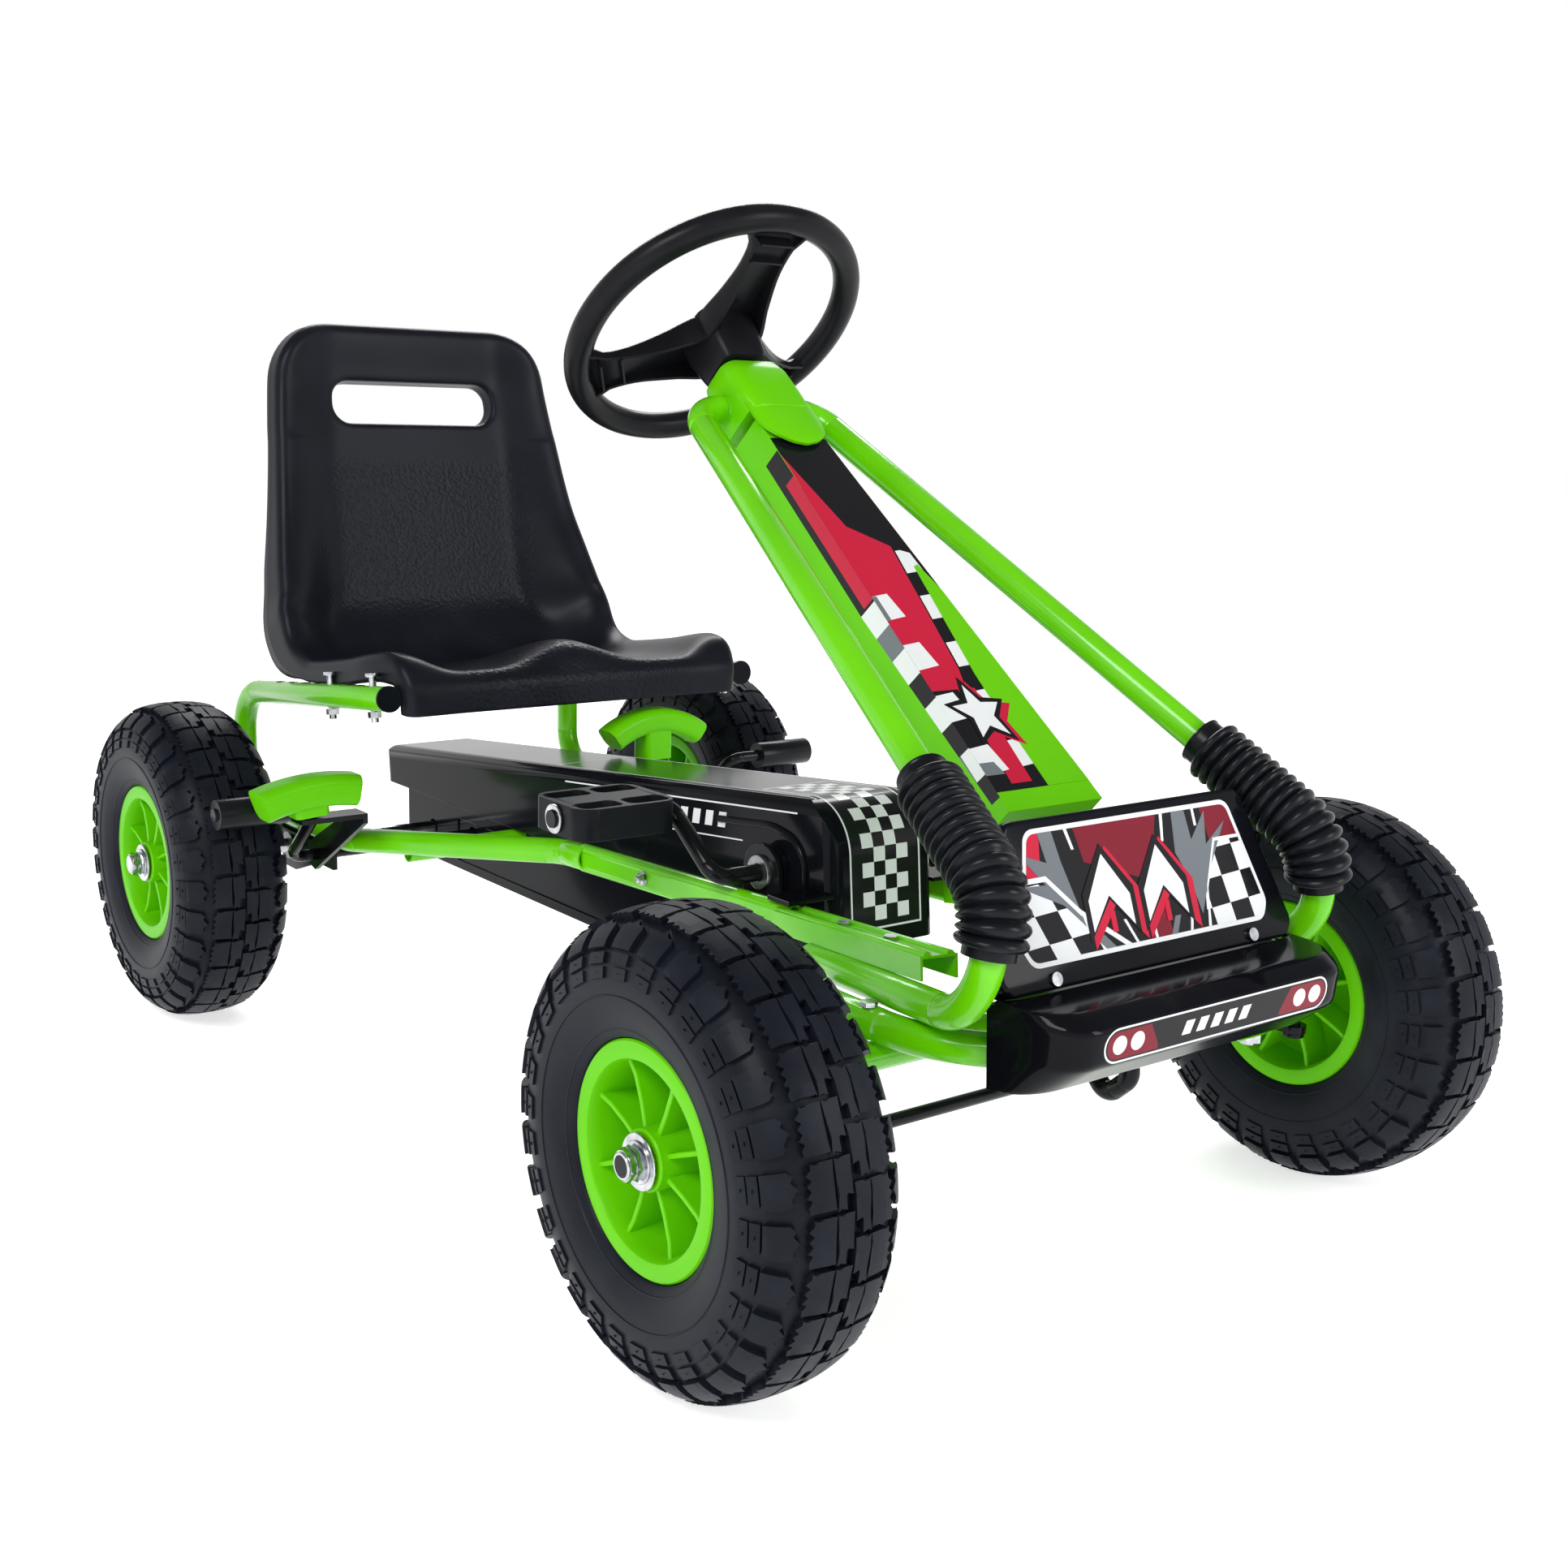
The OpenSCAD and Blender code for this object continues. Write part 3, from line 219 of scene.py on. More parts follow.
def stadium(reach, r, steps):
    """Outline of two half circles whose centres stand a reach to each side."""
    turns = [math.pi * (i / steps - 0.5) for i in range(steps + 1)]
    return [(s * (reach + r * math.cos(a)), s * r * math.sin(a)) for s in (1, -1) for a in turns]


def shares(count):
    """Even shares from 0 to 1."""
    return [i / count for i in range(count + 1)]


class Shape:
    """Points in millimetres and faces, gathered before they become one mesh."""

    def __init__(self):
        self.points = []
        self.faces = []

    def add(self, points, faces, place=None):
        start = len(self.points)
        place = place or Matrix.Identity(4)
        self.points += [place @ Vector(p) for p in points]
        self.faces += [[start + i for i in f] for f in faces]

    def rows(self, rows, around=True, ends="cap", place=None):
        """Skin over rows of points. Rows close on themselves where around; ends are cap, open or join."""
        count = len(rows[0])
        faces = []
        last = len(rows) if ends == "join" else len(rows) - 1
        for j in range(last):
            k = (j + 1) % len(rows)
            for i in range(count if around else count - 1):
                n = (i + 1) % count
                faces.append([j * count + i, j * count + n, k * count + n, k * count + i])
        if ends == "cap":
            faces.append(list(range(count)))
            faces.append([(len(rows) - 1) * count + i for i in range(count)])
        self.add([p for row in rows for p in row], faces, place)

    def prism(self, outline, low, high, place=None, ease=0):
        """Solid between two levels over a flat outline, with its upper edge eased by a small slope."""
        middle = sum((Vector(p) for p in outline), Vector((0, 0))) / len(outline)
        size = max((Vector(p) - middle).length for p in outline)
        inner = [middle + (Vector(p) - middle) * (1 - ease / size) for p in outline]
        levels = [(outline, low), (outline, high - ease)]
        if ease:
            levels.append((inner, high))
        self.rows([[(*p, z) for p in line] for line, z in levels], place=place)

    def lathe(self, loop, count, place=None):
        """Ring around Y from a closed loop of (radius, y) points."""
        self.rows([turned(r, y, count) for r, y in loop], ends="join", place=place)


def make_piece(name, shape, material, body, replaces=(), at=(0, 0, 0), sharp=35, mesh=None):
    """New piece that rides on a body, and may stand for CAD nodes."""
    mesh = mesh or make_mesh(name, shape, material, sharp)
    piece = bpy.data.objects.new(name, mesh)
    piece.location = Vector(at) * MM
    bpy.context.collection.objects.link(piece)
    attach(piece, body)
    if replaces:
        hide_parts(*replaces)
    return piece


def make_mesh(name, shape, material, sharp=35):
    """Smooth mesh in metres, creased where its faces meet at more than an angle in degrees."""
    mesh = bpy.data.meshes.new(name)
    mesh.from_pydata([p * MM for p in shape.points], [], shape.faces)
    work = bmesh.new()
    work.from_mesh(mesh)
    bmesh.ops.recalc_face_normals(work, faces=work.faces)
    work.to_mesh(mesh)
    work.free()
    mesh.shade_smooth()
    mesh.set_sharp_from_angle(angle=math.radians(sharp))
    mesh.materials.append(material)
    return mesh


def smooth_line(points, steps):
    """Catmull-Rom curve through points, with a number of steps between each two."""
    points = [Vector(p) for p in points]
    ends = [2 * points[0] - points[1], *points, 2 * points[-1] - points[-2]]
    line = []
    for a, b, c, d in zip(ends, ends[1:], ends[2:], ends[3:]):
        for i in range(steps):
            t = i / steps
            line.append(0.5 * (2 * b + (c - a) * t + (2 * a - 5 * b + 4 * c - d) * t * t
                               + (3 * b - a - 3 * c + d) * t ** 3))
    return line + [points[-1]]


def bent_path(points, bends, step):
    """Points along straight stretches and tangent arcs, as a bent tube runs."""
    points = [Vector(p) for p in points]
    path = [points[0]]
    for before, corner, after, radius in zip(points, points[1:], points[2:], bends):
        one = (corner - before).normalized()
        two = (after - corner).normalized()
        turn = one.angle(two)
        cut = radius * math.tan(turn / 2)
        start = corner - one * cut
        side = (two - one * one.dot(two)).normalized()
        centre = start + side * radius
        count = max(2, round(radius * turn / step))
        path += [centre - side * radius * math.cos(turn * t) + one * radius * math.sin(turn * t)
                 for t in shares(count)]
    return even_path(path + [points[-1]], step)


def even_path(path, step):
    """The same route with points at an even distance."""
    runs = [0]
    for a, b in zip(path, path[1:]):
        runs.append(runs[-1] + (b - a).length)
    count = max(1, round(runs[-1] / step))
    out = []
    k = 0
    for i in range(count + 1):
        run = runs[-1] * i / count
        while k < len(path) - 2 and runs[k + 1] < run:
            k += 1
        span = runs[k + 1] - runs[k]
        out.append(path[k].lerp(path[k + 1], (run - runs[k]) / span if span else 0))
    return out


def along(path, sections):
    """Rows of points: each flat section, in its own plane across the path."""
    rows = []
    side = None
    for i, (at, section) in enumerate(zip(path, sections)):
        ahead = (path[min(i + 1, len(path) - 1)] - path[max(i - 1, 0)]).normalized()
        side = ahead.orthogonal() if side is None else side
        side = (side - ahead * side.dot(ahead)).normalized()
        up = ahead.cross(side)
        rows.append([at + side * x + up * y for x, y in section])
    return rows


# ---------- Wheels ----------

WHEEL_AT = {"front": 378, "rear": -378}
WHEEL_ACROSS = 265
NUT_ACROSS = 301
WHEEL_BODY = {("front", "right"): "wheel_front_right", ("front", "left"): "wheel_front_left",
              ("rear", "right"): "wheel_rear_right", ("rear", "left"): "rear_drive"}
TYRE_R = 132.5
LUGS = 30
LUG_PITCH = 26.6
CARCASS = [(64.4, 31.5), (65.2, 35), (68, 37.4), (73, 39.8), (81, 42.3), (90, 43.5), (98, 43.1), (107, 40.9),
           (114.3, 37.2), (120, 31.8), (124.2, 24.5), (126.6, 14), (127.2, 0)]


class Carcass:
    """The tyre's outer skin, measured across from the middle of the tread."""

    def __init__(self):
        half = smooth_line(CARCASS[::-1], 5)
        self.line = [Vector((p.x, -p.y)) for p in reversed(half[1:])] + half
        self.runs = [0]
        for a, b in zip(self.line, self.line[1:]):
            self.runs.append(self.runs[-1] + (b - a).length)
        self.middle = self.runs[-1] / 2

    def point(self, turn, across, lift):
        """Point at a turn in radians, a distance across from the middle, and a lift above the skin."""
        run = min(max(across + self.middle, 0), self.runs[-1] - 0.001)
        k = max(i for i, start in enumerate(self.runs[:-1]) if start <= run)
        a, b = self.line[k], self.line[k + 1]
        flat = a.lerp(b, (run - self.runs[k]) / (self.runs[k + 1] - self.runs[k]))
        slope = (self.line[min(k + 2, len(self.line) - 1)] - self.line[max(k - 1, 0)]).normalized()
        flat += Vector((slope.y, -slope.x)) * lift
        return Vector((flat.x * math.sin(turn), flat.y, flat.x * math.cos(turn)))


# Lugs of one pitch of half the tread: outline as (share of the pitch, distance from the middle), height
CENTRE_LUG = [(0.05, 0.8), (0.05, 9.4), (0.95, 9.4), (0.95, 5.2), (0.70, 5.2), (0.70, 0.8)]
ZIGZAG_LUG = [(0.06, 11.0), (0.06, 21.2), (0.16, 21.4), (0.24, 23.8), (0.33, 21.6), (0.43, 24.4),
              (0.53, 21.8), (0.62, 24.4), (0.72, 22.0), (0.80, 24.0), (0.92, 23.2), (0.92, 11.0)]
ARROW_LUG = [(0.12, 44.0), (0.12, 32.0), (0.22, 30.0), (0.30, 31.2), (0.46, 27.4), (0.62, 31.2), (0.70, 30.0),
             (0.80, 32.0), (0.80, 44.0)]
INNER_SQUARE = [(0.14, 45.8), (0.14, 51.6), (0.78, 51.6), (0.78, 45.8)]
OUTER_SQUARE = [(0.15, 53.2), (0.15, 59.2), (0.77, 59.2), (0.77, 53.2)]
HALF_TREAD = [(CENTRE_LUG, 5.1), (ZIGZAG_LUG, 4.9), (ARROW_LUG, 3.8), (INNER_SQUARE, 2.0),
              (OUTER_SQUARE, 1.3), (circle(0.045, 6, (0.46, 48.7)), 2.7),
              (circle(0.045, 6, (0.46, 56.2)), 2.0)]


def flat_lug(outline, height, side):
    """One lug, still flat: cut into strips so that it can bend, with its top edges eased where it is tall."""
    work = bmesh.new()
    rim = [work.verts.new((share * LUG_PITCH, side * across, height)) for share, across in outline]
    work.faces.new(rim)
    for axis, cuts in ((1, [side * c for c in range(4, 60, 4)]), (0, (9, 18))):
        for cut in cuts:
            facing = Vector((1 - axis, axis, 0))
            bmesh.ops.bisect_plane(work, geom=work.verts[:] + work.edges[:] + work.faces[:],
                                   plane_co=facing * cut, plane_no=facing)
    edges = [e for e in work.edges if len(e.link_faces) == 1]
    lower = {}
    for edge in edges:
        for vert in edge.verts:
            lower.setdefault(vert, work.verts.new((vert.co.x, vert.co.y, -0.8)))
    for edge in edges:
        a, b = edge.verts
        work.faces.new((a, b, lower[b], lower[a]))
    if height > 3:
        bmesh.ops.bevel(work, geom=edges, offset=0.5, segments=1, affect="EDGES")
    work.verts.index_update()
    shape = [v.co.copy() for v in work.verts], [[v.index for v in f.verts] for f in work.faces]
    work.free()
    return shape


def tyre_mesh():
    """Hollow carcass with two moulded rings on each side wall and the lugs of the tread."""
    carcass = Carcass()
    shape = Shape()
    outer = [(p.x, p.y) for p in carcass.line]
    inner = [(r - 5 if abs(y) < 26 else r, y * 0.84) for r, y in reversed(outer)]
    shape.lathe(outer + inner[1:-1], 120)
    for side in (-1, 1):
        shape.lathe([(69.0, side * 37.4), (70.0, side * 38.9), (70.6, side * 38.9), (71.4, side * 38.0)], 96)
        shape.lathe([(87.4, side * 42.5), (88.0, side * 43.9), (88.6, side * 43.9), (89.2, side * 42.8)], 96)
        stagger = 0.5 if side > 0 else 0
        for outline, height in HALF_TREAD:
            points, faces = flat_lug(outline, height, side)
            for k in range(LUGS):
                turns = [(p.x / LUG_PITCH + k + stagger) * math.tau / LUGS for p in points]
                shape.add([carcass.point(turn, p.y, p.z) for turn, p in zip(turns, points)], faces)
    return make_mesh("tyre", shape, TYRE, 40)


# Outer half of the rim's section as (radius, y), from the bead seat over the lip and the dish to the hub
RIM_HALF = [(56.8, 30.8), (57.4, 32), (63.6, 32), (64.4, 32.8), (64.4, 34.4), (63.4, 35.5), (60, 35.9),
            (56, 35.9), (54, 35.3), (52.9, 33.6), (51.6, 27), (50.6, 16), (49.2, 8), (46.4, 5.4), (24, 4.6),
            (19.6, 6), (18, 9), (17.2, 20), (17, 33.4), (16.2, 34.4), (7.6, 34.4), (6.2, 33.8)]
SPOKES = 8
SPOKE_TOP = [(15.5, 29.5), (30, 28.6), (44, 28.8), (53.0, 30.6)]
SPOKE_FOOT = [(52, 4), (15.5, 4)]


def rim_mesh():
    """Turned rim with a thin web for each spoke, eased along its outer edge, on both sides."""
    shape = Shape()
    shape.lathe(RIM_HALF + [(r, -y) for r, y in reversed(RIM_HALF)], 96)
    for side in (-1, 1):
        for i in range(SPOKES):
            turn = Matrix.Rotation((i + 0.5) * math.tau / SPOKES, 4, "Y")
            web = []
            for thick, ease in ((-1.5, 0.6), (-1.1, 0), (1.1, 0), (1.5, 0.6)):
                web.append([(r, side * (y - ease), thick) for r, y in SPOKE_TOP]
                           + [(r, side * y, thick) for r, y in SPOKE_FOOT])
            shape.rows(web, place=turn)
    return make_mesh("rim", shape, PLASTIC, 32)


def hex_nut(shape, r, low, high, bore, place):
    """Hexagon nut around Y with chamfered corners, open down its middle."""
    chamfer = 0.16 * r

    def hexagon(radius, y, trim=1.0):
        row = []
        for i in range(24):
            a = math.tau * i / 24
            flat = radius * math.cos(math.pi / 6) / math.cos((a % (math.tau / 6)) - math.pi / 6)
            d = min(flat, radius * trim)
            row.append((d * math.sin(a), y, d * math.cos(a)))
        return row

    shape.rows([hexagon(r, low, 0.88), hexagon(r, low + chamfer), hexagon(r, high - chamfer),
                hexagon(r, high, 0.88), turned(bore, high, 24), turned(bore, low, 24)],
               ends="join", place=place)


def nut_mesh():
    """Wide washer, small washer, plain nut and locking nut on an axle end, each at a turn of its own."""
    shape = Shape()
    shape.lathe([(6.1, 0.1), (15.2, 0.1), (15.6, 0.5), (15.6, 1.2), (15.2, 1.6), (6.1, 1.6)], 48)
    shape.lathe([(6.1, 1.5), (11.4, 1.5), (11.7, 1.8), (11.7, 2.4), (11.4, 2.7), (6.1, 2.7)], 40)
    for low, high, r in ((2.6, 6.4, 10), (6.6, 10.8, 9.6)):
        hex_nut(shape, r, low, high, 6.05, Matrix.Rotation(low, 4, "Y"))
    shape.lathe([(6.05, 10.4), (7.9, 10.4), (7.7, 11.5), (7.2, 12), (6.05, 12)], 40)
    return make_mesh("axle_nut", shape, PLATED, 30)


def valve_cap_shape(side):
    """Ribbed cap on the tyre valve, which leans out of the rim."""
    shape = Shape()
    place = (Matrix.Rotation(math.radians(45), 4, "Y") @ Matrix.Translation((0, side * 44, 0))
             @ Matrix.Rotation(side * math.radians(30), 4, "X") @ Matrix.Translation((0, 0, 50)))
    rows = []
    for r, z, rib in ((2.6, -4.2, 0), (3.7, -3.6, 0), (4.3, -2.4, 0), (4.4, -1.5, 0.35), (4.5, 6, 0.35),
                      (4.6, 7, 0), (4.6, 9, 0), (4.1, 9.4, 0)):
        even, odd = circle(r, 32), circle(r + rib, 32)
        rows.append([(*(odd if n % 2 else even)[n], z) for n in range(32)])
    shape.rows(rows, place=place)
    return shape


def make_wheels():
    """Tyre, rim, valve cap and axle nuts of the four wheels; the nuts stay with the axle's own body."""
    tyre, rim, nut = tyre_mesh(), rim_mesh(), nut_mesh()
    for end, x in WHEEL_AT.items():
        for hand, side in SIDES.items():
            body = WHEEL_BODY[end, hand]
            name = f"{end}_{hand}"
            middle = (x, side * WHEEL_ACROSS, TYRE_R)
            make_piece(f"tyre_{name}_looks", None, TYRE, body, [f"tyre_{name}"], middle, mesh=tyre)
            make_piece(f"rim_{name}_looks", None, PLASTIC, body, [f"rim_{name}"], middle,
                       mesh=rim)
            make_piece(f"valve_cap_{name}", valve_cap_shape(side), RUBBER, body, at=middle)
            cad_nut = f"front_nut_{hand}" if end == "front" else "rear_axle_nuts"
            holder = f"knuckle_{hand}" if end == "front" else "rear_drive"
            piece = make_piece(f"axle_nuts_{name}", None, PLATED, holder, [cad_nut],
                               (x, side * NUT_ACROSS, TYRE_R), mesh=nut)
            if side < 0:
                piece.rotation_euler.z = math.pi


make_wheels()


# ---------- Rubber bellows ----------

BELLOWS_STEP = 0.6
BELLOWS_FOLD = 7.0
BELLOWS_CUFFS = (9, 6)


def bellows_radius(run, length):
    """Plain cuffs at both ends, with a bead on the upper one, and sharp-valleyed folds between them."""
    upper, lower = BELLOWS_CUFFS
    if run < upper or run > length - lower:
        return 15.7 if run < 1.5 else 15.2
    return 16.3 + 4.2 * abs(math.sin(math.pi * (run - upper) / BELLOWS_FOLD)) ** 0.62


def make_bellows():
    """Folded sleeves round the bend of the front tube, where it turns down from the legs of the column."""
    corner, above, below = Vector((463, 134.5, 270.5)), Vector((55, 52.5, 517.2)), Vector((463, 146, 203))
    down = (corner - above).normalized()
    drop = (below - corner).normalized()
    path = bent_path([corner - down * 98, corner, corner + drop * 32], [40], BELLOWS_STEP)
    length = (len(path) - 1) * BELLOWS_STEP
    radii = [bellows_radius(i * BELLOWS_STEP, length) for i in range(len(path))]
    for hand, side in SIDES.items():
        mirrored = [Vector((p.x, side * p.y, p.z)) for p in path]
        outer = along(mirrored, [circle(r, 56) for r in radii])
        inner = along(mirrored, [circle(10.4, 56)] * len(path))
        shape = Shape()
        shape.rows(outer + inner[::-6], ends="join")
        make_piece(f"bellows_{hand}_looks", shape, RUBBER, "root", [f"bellows_{hand}"], sharp=60)


make_bellows()


# ---------- Seat ----------

SEAT_FOOT = Vector((-436, 0, 283))
SEAT_UP = Vector((-0.17708, 0, 0.98420))
SEAT_OUT = Vector((0.98420, 0, 0.17708))
SEAT_TOP = 305
SEAT_JOIN = 200
JOIN_HALF = 133.5
EDGE_R = 9
SEAT_EDGE_DEPTH = 23


def mix(table, at):
    """Value at a place in a table of (place, value), on a curve without overshoot, level at both ends."""
    if at <= table[0][0]:
        return table[0][1]
    steps = [(b[1] - a[1]) / (b[0] - a[0]) for a, b in zip(table, table[1:])]
    slopes = [0, *(2 * a * b / (a + b) if a * b > 0 else 0 for a, b in zip(steps, steps[1:])), 0]
    for (a, low), (b, high), rise, fall in zip(table, table[1:], slopes, slopes[1:]):
        if at <= b:
            t = (at - a) / (b - a)
            return (low * (1 + 2 * t) * (1 - t) ** 2 + high * t * t * (3 - 2 * t)
                    + (b - a) * (rise * t * (1 - t) ** 2 - fall * t * t * (1 - t)))
    return table[-1][1]


def back_width(rise):
    """Half-width of the seat back, inside its rounded edge, at a height up the back."""
    return mix([(60, 155), (140, 141), (244, 128), (305, 124)], rise)


def back_bowl(y, rise):
    """How far the back's face stands forward of the plane of its shell."""
    share = abs(y) / back_width(rise)
    edge = mix([(60, 40), (110, 30), (170, 20), (260, 14)], rise)
    top = 6 * mix([(250, 0), (300, 1)], rise)
    return 4 + top + (edge - 4) * mix([(0.62, 0), (1.0, 1)], share)


def back_point(y, rise):
    """Point on the face of the seat back."""
    return SEAT_FOOT + SEAT_UP * rise + SEAT_OUT * back_bowl(y, rise) + Vector((0, y, 0))


def seat_rows():
    """Rows of the seat from the join under its slot, down the back, over the pan and down the front lip."""
    join = SEAT_FOOT + SEAT_UP * SEAT_JOIN + SEAT_OUT * 4
    corner = Vector((-430.4, 0, 280.1))
    front = Vector((-173, 0, 309.0))
    lip = Vector((-174, 0, 274))
    step = 5
    path = bent_path([join, corner, front, lip], [70, 15], step)
    rows = []
    for i, at in enumerate(path):
        ahead = (path[min(i + 1, len(path) - 1)] - path[max(i - 1, 0)]).normalized()
        facing = Vector((-ahead.z, 0, ahead.x))
        run = i * step
        width = mix([(-50, 127.6), (0, JOIN_HALF), (60, 141), (130, 153), (180, 159), (360, 158), (425, 152),
                     (470, 149)], run)
        rise = mix([(-60, 10), (0, 14.2), (60, 20), (110, 31), (150, 40), (185, 38), (235, 20), (270, 10),
                    (330, 12), (400, 17), (418, 14), (436, 2)], run)
        hump = mix([(270, 0), (400, 19), (418, 16), (436, 0)], run)
        dip = mix([(250, 0), (400, 3), (436, 0)], run)
        start = mix([(0, 0.62), (120, 0.56), (200, 0.66), (300, 0.72), (420, 0.7)], run)
        row = []
        for n in range(41):
            share = n / 20 - 1
            lift = rise * mix([(start, 0), (1.0, 1)], abs(share)) + hump * math.exp(-(share / 0.27) ** 2)
            lift -= dip * math.exp(-((abs(share) - 0.56) / 0.2) ** 2)
            row.append(at + facing * lift + Vector((0, share * width, 0)))
        rows.append((row, facing, run))
    return rows


def quarter(centre, r, start):
    """Quarter of a circle, anticlockwise from a start in degrees."""
    turns = [math.radians(start + 90 * t) for t in shares(7)]
    return [(centre[0] + r * math.cos(a), centre[1] + r * math.sin(a)) for a in turns]


def slot_loop():
    """Handle slot as points (y, rise), starting at its lower right corner and going round to the left."""
    low, high, r = 211, 259, 22
    reach = 86 - r
    loop = [(reach * (2 * t - 1), low) for t in shares(40)]
    loop += quarter((reach, low + r), r, -90)[1:] + quarter((reach, high - r), r, 0)[1:]
    loop += [(reach * (1 - 2 * t), high) for t in shares(20)[1:-1]]
    return loop + quarter((-reach, high - r), r, 90)[:-1] + quarter((-reach, low + r), r, 180)[:-1]


def head_loop():
    """Outline of the seat's head inside its rounded edge, matched point by point with the slot's loop."""
    r, top = 46, SEAT_TOP - EDGE_R
    shoulder = top - r
    wide = back_width(shoulder)
    reach = wide - r
    flank = [(JOIN_HALF + (wide - JOIN_HALF) * t, SEAT_JOIN + (shoulder - SEAT_JOIN) * t) for t in shares(7)]
    loop = [(JOIN_HALF * (2 * t - 1), SEAT_JOIN) for t in shares(40)]
    loop += flank[1:] + quarter((reach, shoulder), r, 0)[1:]
    loop += [(reach * (1 - 2 * t), top) for t in shares(20)[1:-1]]
    return loop + quarter((-reach, shoulder), r, 90)[:-1] + [(-y, rise) for y, rise in flank[:0:-1]]


def roll_over(point, away, facing, depth, radius):
    """Points of a rounded edge that turns away from the face and then runs back behind it."""
    out = []
    for t in shares(4)[1:]:
        a = math.pi / 2 * t
        out.append(point + away * radius * math.sin(a) - facing * radius * (1 - math.cos(a)))
    out.append(out[-1] - facing * (depth - radius) * 0.5)
    out.append(point + away * (radius + 0.8) - facing * depth)
    return out


def outward(loop, n):
    """Direction in the plane of the back that points out of an anticlockwise loop of (y, rise) points."""
    line = (Vector(loop[(n + 1) % len(loop)]) - Vector(loop[n - 1])).normalized()
    return Vector((0, line.y, 0)) - SEAT_UP * line.x


def seat_surface():
    """Face of the seat with its handle slot, the slot's flange and the rolled edge all round."""
    shape = Shape()
    rows = seat_rows()
    shape.rows([row for row, _, _ in rows], around=False, ends="open")
    slot, head = slot_loop(), head_loop()
    rings = [[back_point(*Vector(a).lerp(Vector(b), t)) for a, b in zip(slot, head)] for t in shares(8)]
    join = len(rows[0][0])
    rings[-1][:join] = rows[0][0]
    shape.rows(rings, ends="open")
    flange = [[p] + roll_over(p, -outward(slot, n), SEAT_OUT, 17, 5) for n, p in enumerate(rings[0])]
    shape.rows(list(zip(*flange)), ends="open")
    rim = []
    for row, facing, run in rows[::-1]:
        depth = mix([(0, SEAT_EDGE_DEPTH), (60, 27), (130, 38), (190, 46), (235, 27), (262, 19), (320, 22),
                     (410, 24), (450, 14)], run)
        rim.append((row[-1], Vector((0, 1, 0)), facing, depth))
    for n in range(join, len(head)):
        rim.append((rings[-1][n], outward(head, n), SEAT_OUT, SEAT_EDGE_DEPTH))
    rim += [(Vector((p.x, -p.y, p.z)), Vector((0, -1, 0)), facing, depth)
            for p, _, facing, depth in reversed(rim[:len(rows)])]
    skirt = [[p] + roll_over(p, away, facing, depth, EDGE_R) for p, away, facing, depth in rim]
    shape.rows(list(zip(*skirt)), around=False, ends="open")
    return shape


def make_seat():
    """The seat's surface, welded where its parts meet, smoothed and given the thickness of its wall."""
    shape = seat_surface()
    mesh = bpy.data.meshes.new("seat")
    mesh.from_pydata([p * MM for p in shape.points], [], shape.faces)
    work = bmesh.new()
    work.from_mesh(mesh)
    bmesh.ops.remove_doubles(work, verts=work.verts, dist=0.00002)
    bmesh.ops.recalc_face_normals(work, faces=work.faces)
    if sum((f.normal.x for f in work.faces if abs(f.calc_center_median().y) < 0.08)) < 0:
        bmesh.ops.reverse_faces(work, faces=work.faces)
    work.to_mesh(mesh)
    work.free()
    mesh.shade_smooth()
    mesh.materials.append(SEAT)
    seat = make_piece("seat_shell", None, SEAT, "root", ["seat"], mesh=mesh)
    smoother = seat.modifiers.new("smooth", "SUBSURF")
    smoother.levels = smoother.render_levels = 1
    wall = seat.modifiers.new("wall", "SOLIDIFY")
    wall.thickness = 0.0032
    wall.offset = -1


def seat_material():
    """Black moulded plastic: smooth at the edges, with a leather-like pebble in the middle."""
    material = surface("seat_plastic", (0.007, 0.008, 0.012), (0.011, 0.012, 0.018), 0.34, 0.06, 18, 1500,
                       0.03)
    tree = material.node_tree
    shader = tree.nodes["Principled BSDF"]
    place = add(tree, "ShaderNodeTexCoord").outputs["Object"]
    cells = add(tree, "ShaderNodeTexVoronoi", vector=place, scale=330.0, feature="SMOOTH_F1")
    split = add(tree, "ShaderNodeSeparateXYZ", vector=place)
    across = add(tree, "ShaderNodeMath", operation="ABSOLUTE", value=split.outputs["Y"]).outputs[0]
    middle = add(tree, "ShaderNodeMapRange", value=across, from_min=0.104, from_max=0.112,
                 to_min=1.0, to_max=0.0)
    below = add(tree, "ShaderNodeMapRange", value=split.outputs["Z"], from_min=0.455, from_max=0.47,
                to_min=1.0, to_max=0.0)
    mask = add(tree, "ShaderNodeMath", operation="MULTIPLY", value=middle.outputs["Result"])
    tree.links.new(below.outputs["Result"], mask.inputs[1])
    height = add(tree, "ShaderNodeMath", operation="MULTIPLY", value=cells.outputs["Distance"])
    tree.links.new(mask.outputs[0], height.inputs[1])
    relief = add(tree, "ShaderNodeBump", height=height.outputs[0], strength=0.9, distance=0.0005,
                 normal=shader.inputs["Normal"].links[0].from_socket)
    relief.invert = True
    tree.links.new(relief.outputs["Normal"], shader.inputs["Normal"])
    return material


SEAT = seat_material()
make_seat()


# ---------- Steering wheel ----------

COLUMN = Matrix.Translation((4.6, 0, 575.3)) @ Matrix.Rotation(math.radians(-42.9), 4, "Y")
RING_R = 105
GRIP_R = 10


def grip_radius(b):
    """Radius of the grip at a turn round it: flatter on its inner side, with a faint moulding line."""
    return GRIP_R + 0.45 * max(0, math.cos(b - math.radians(200))) ** 24 - 0.5 * max(0, -math.cos(b)) ** 3


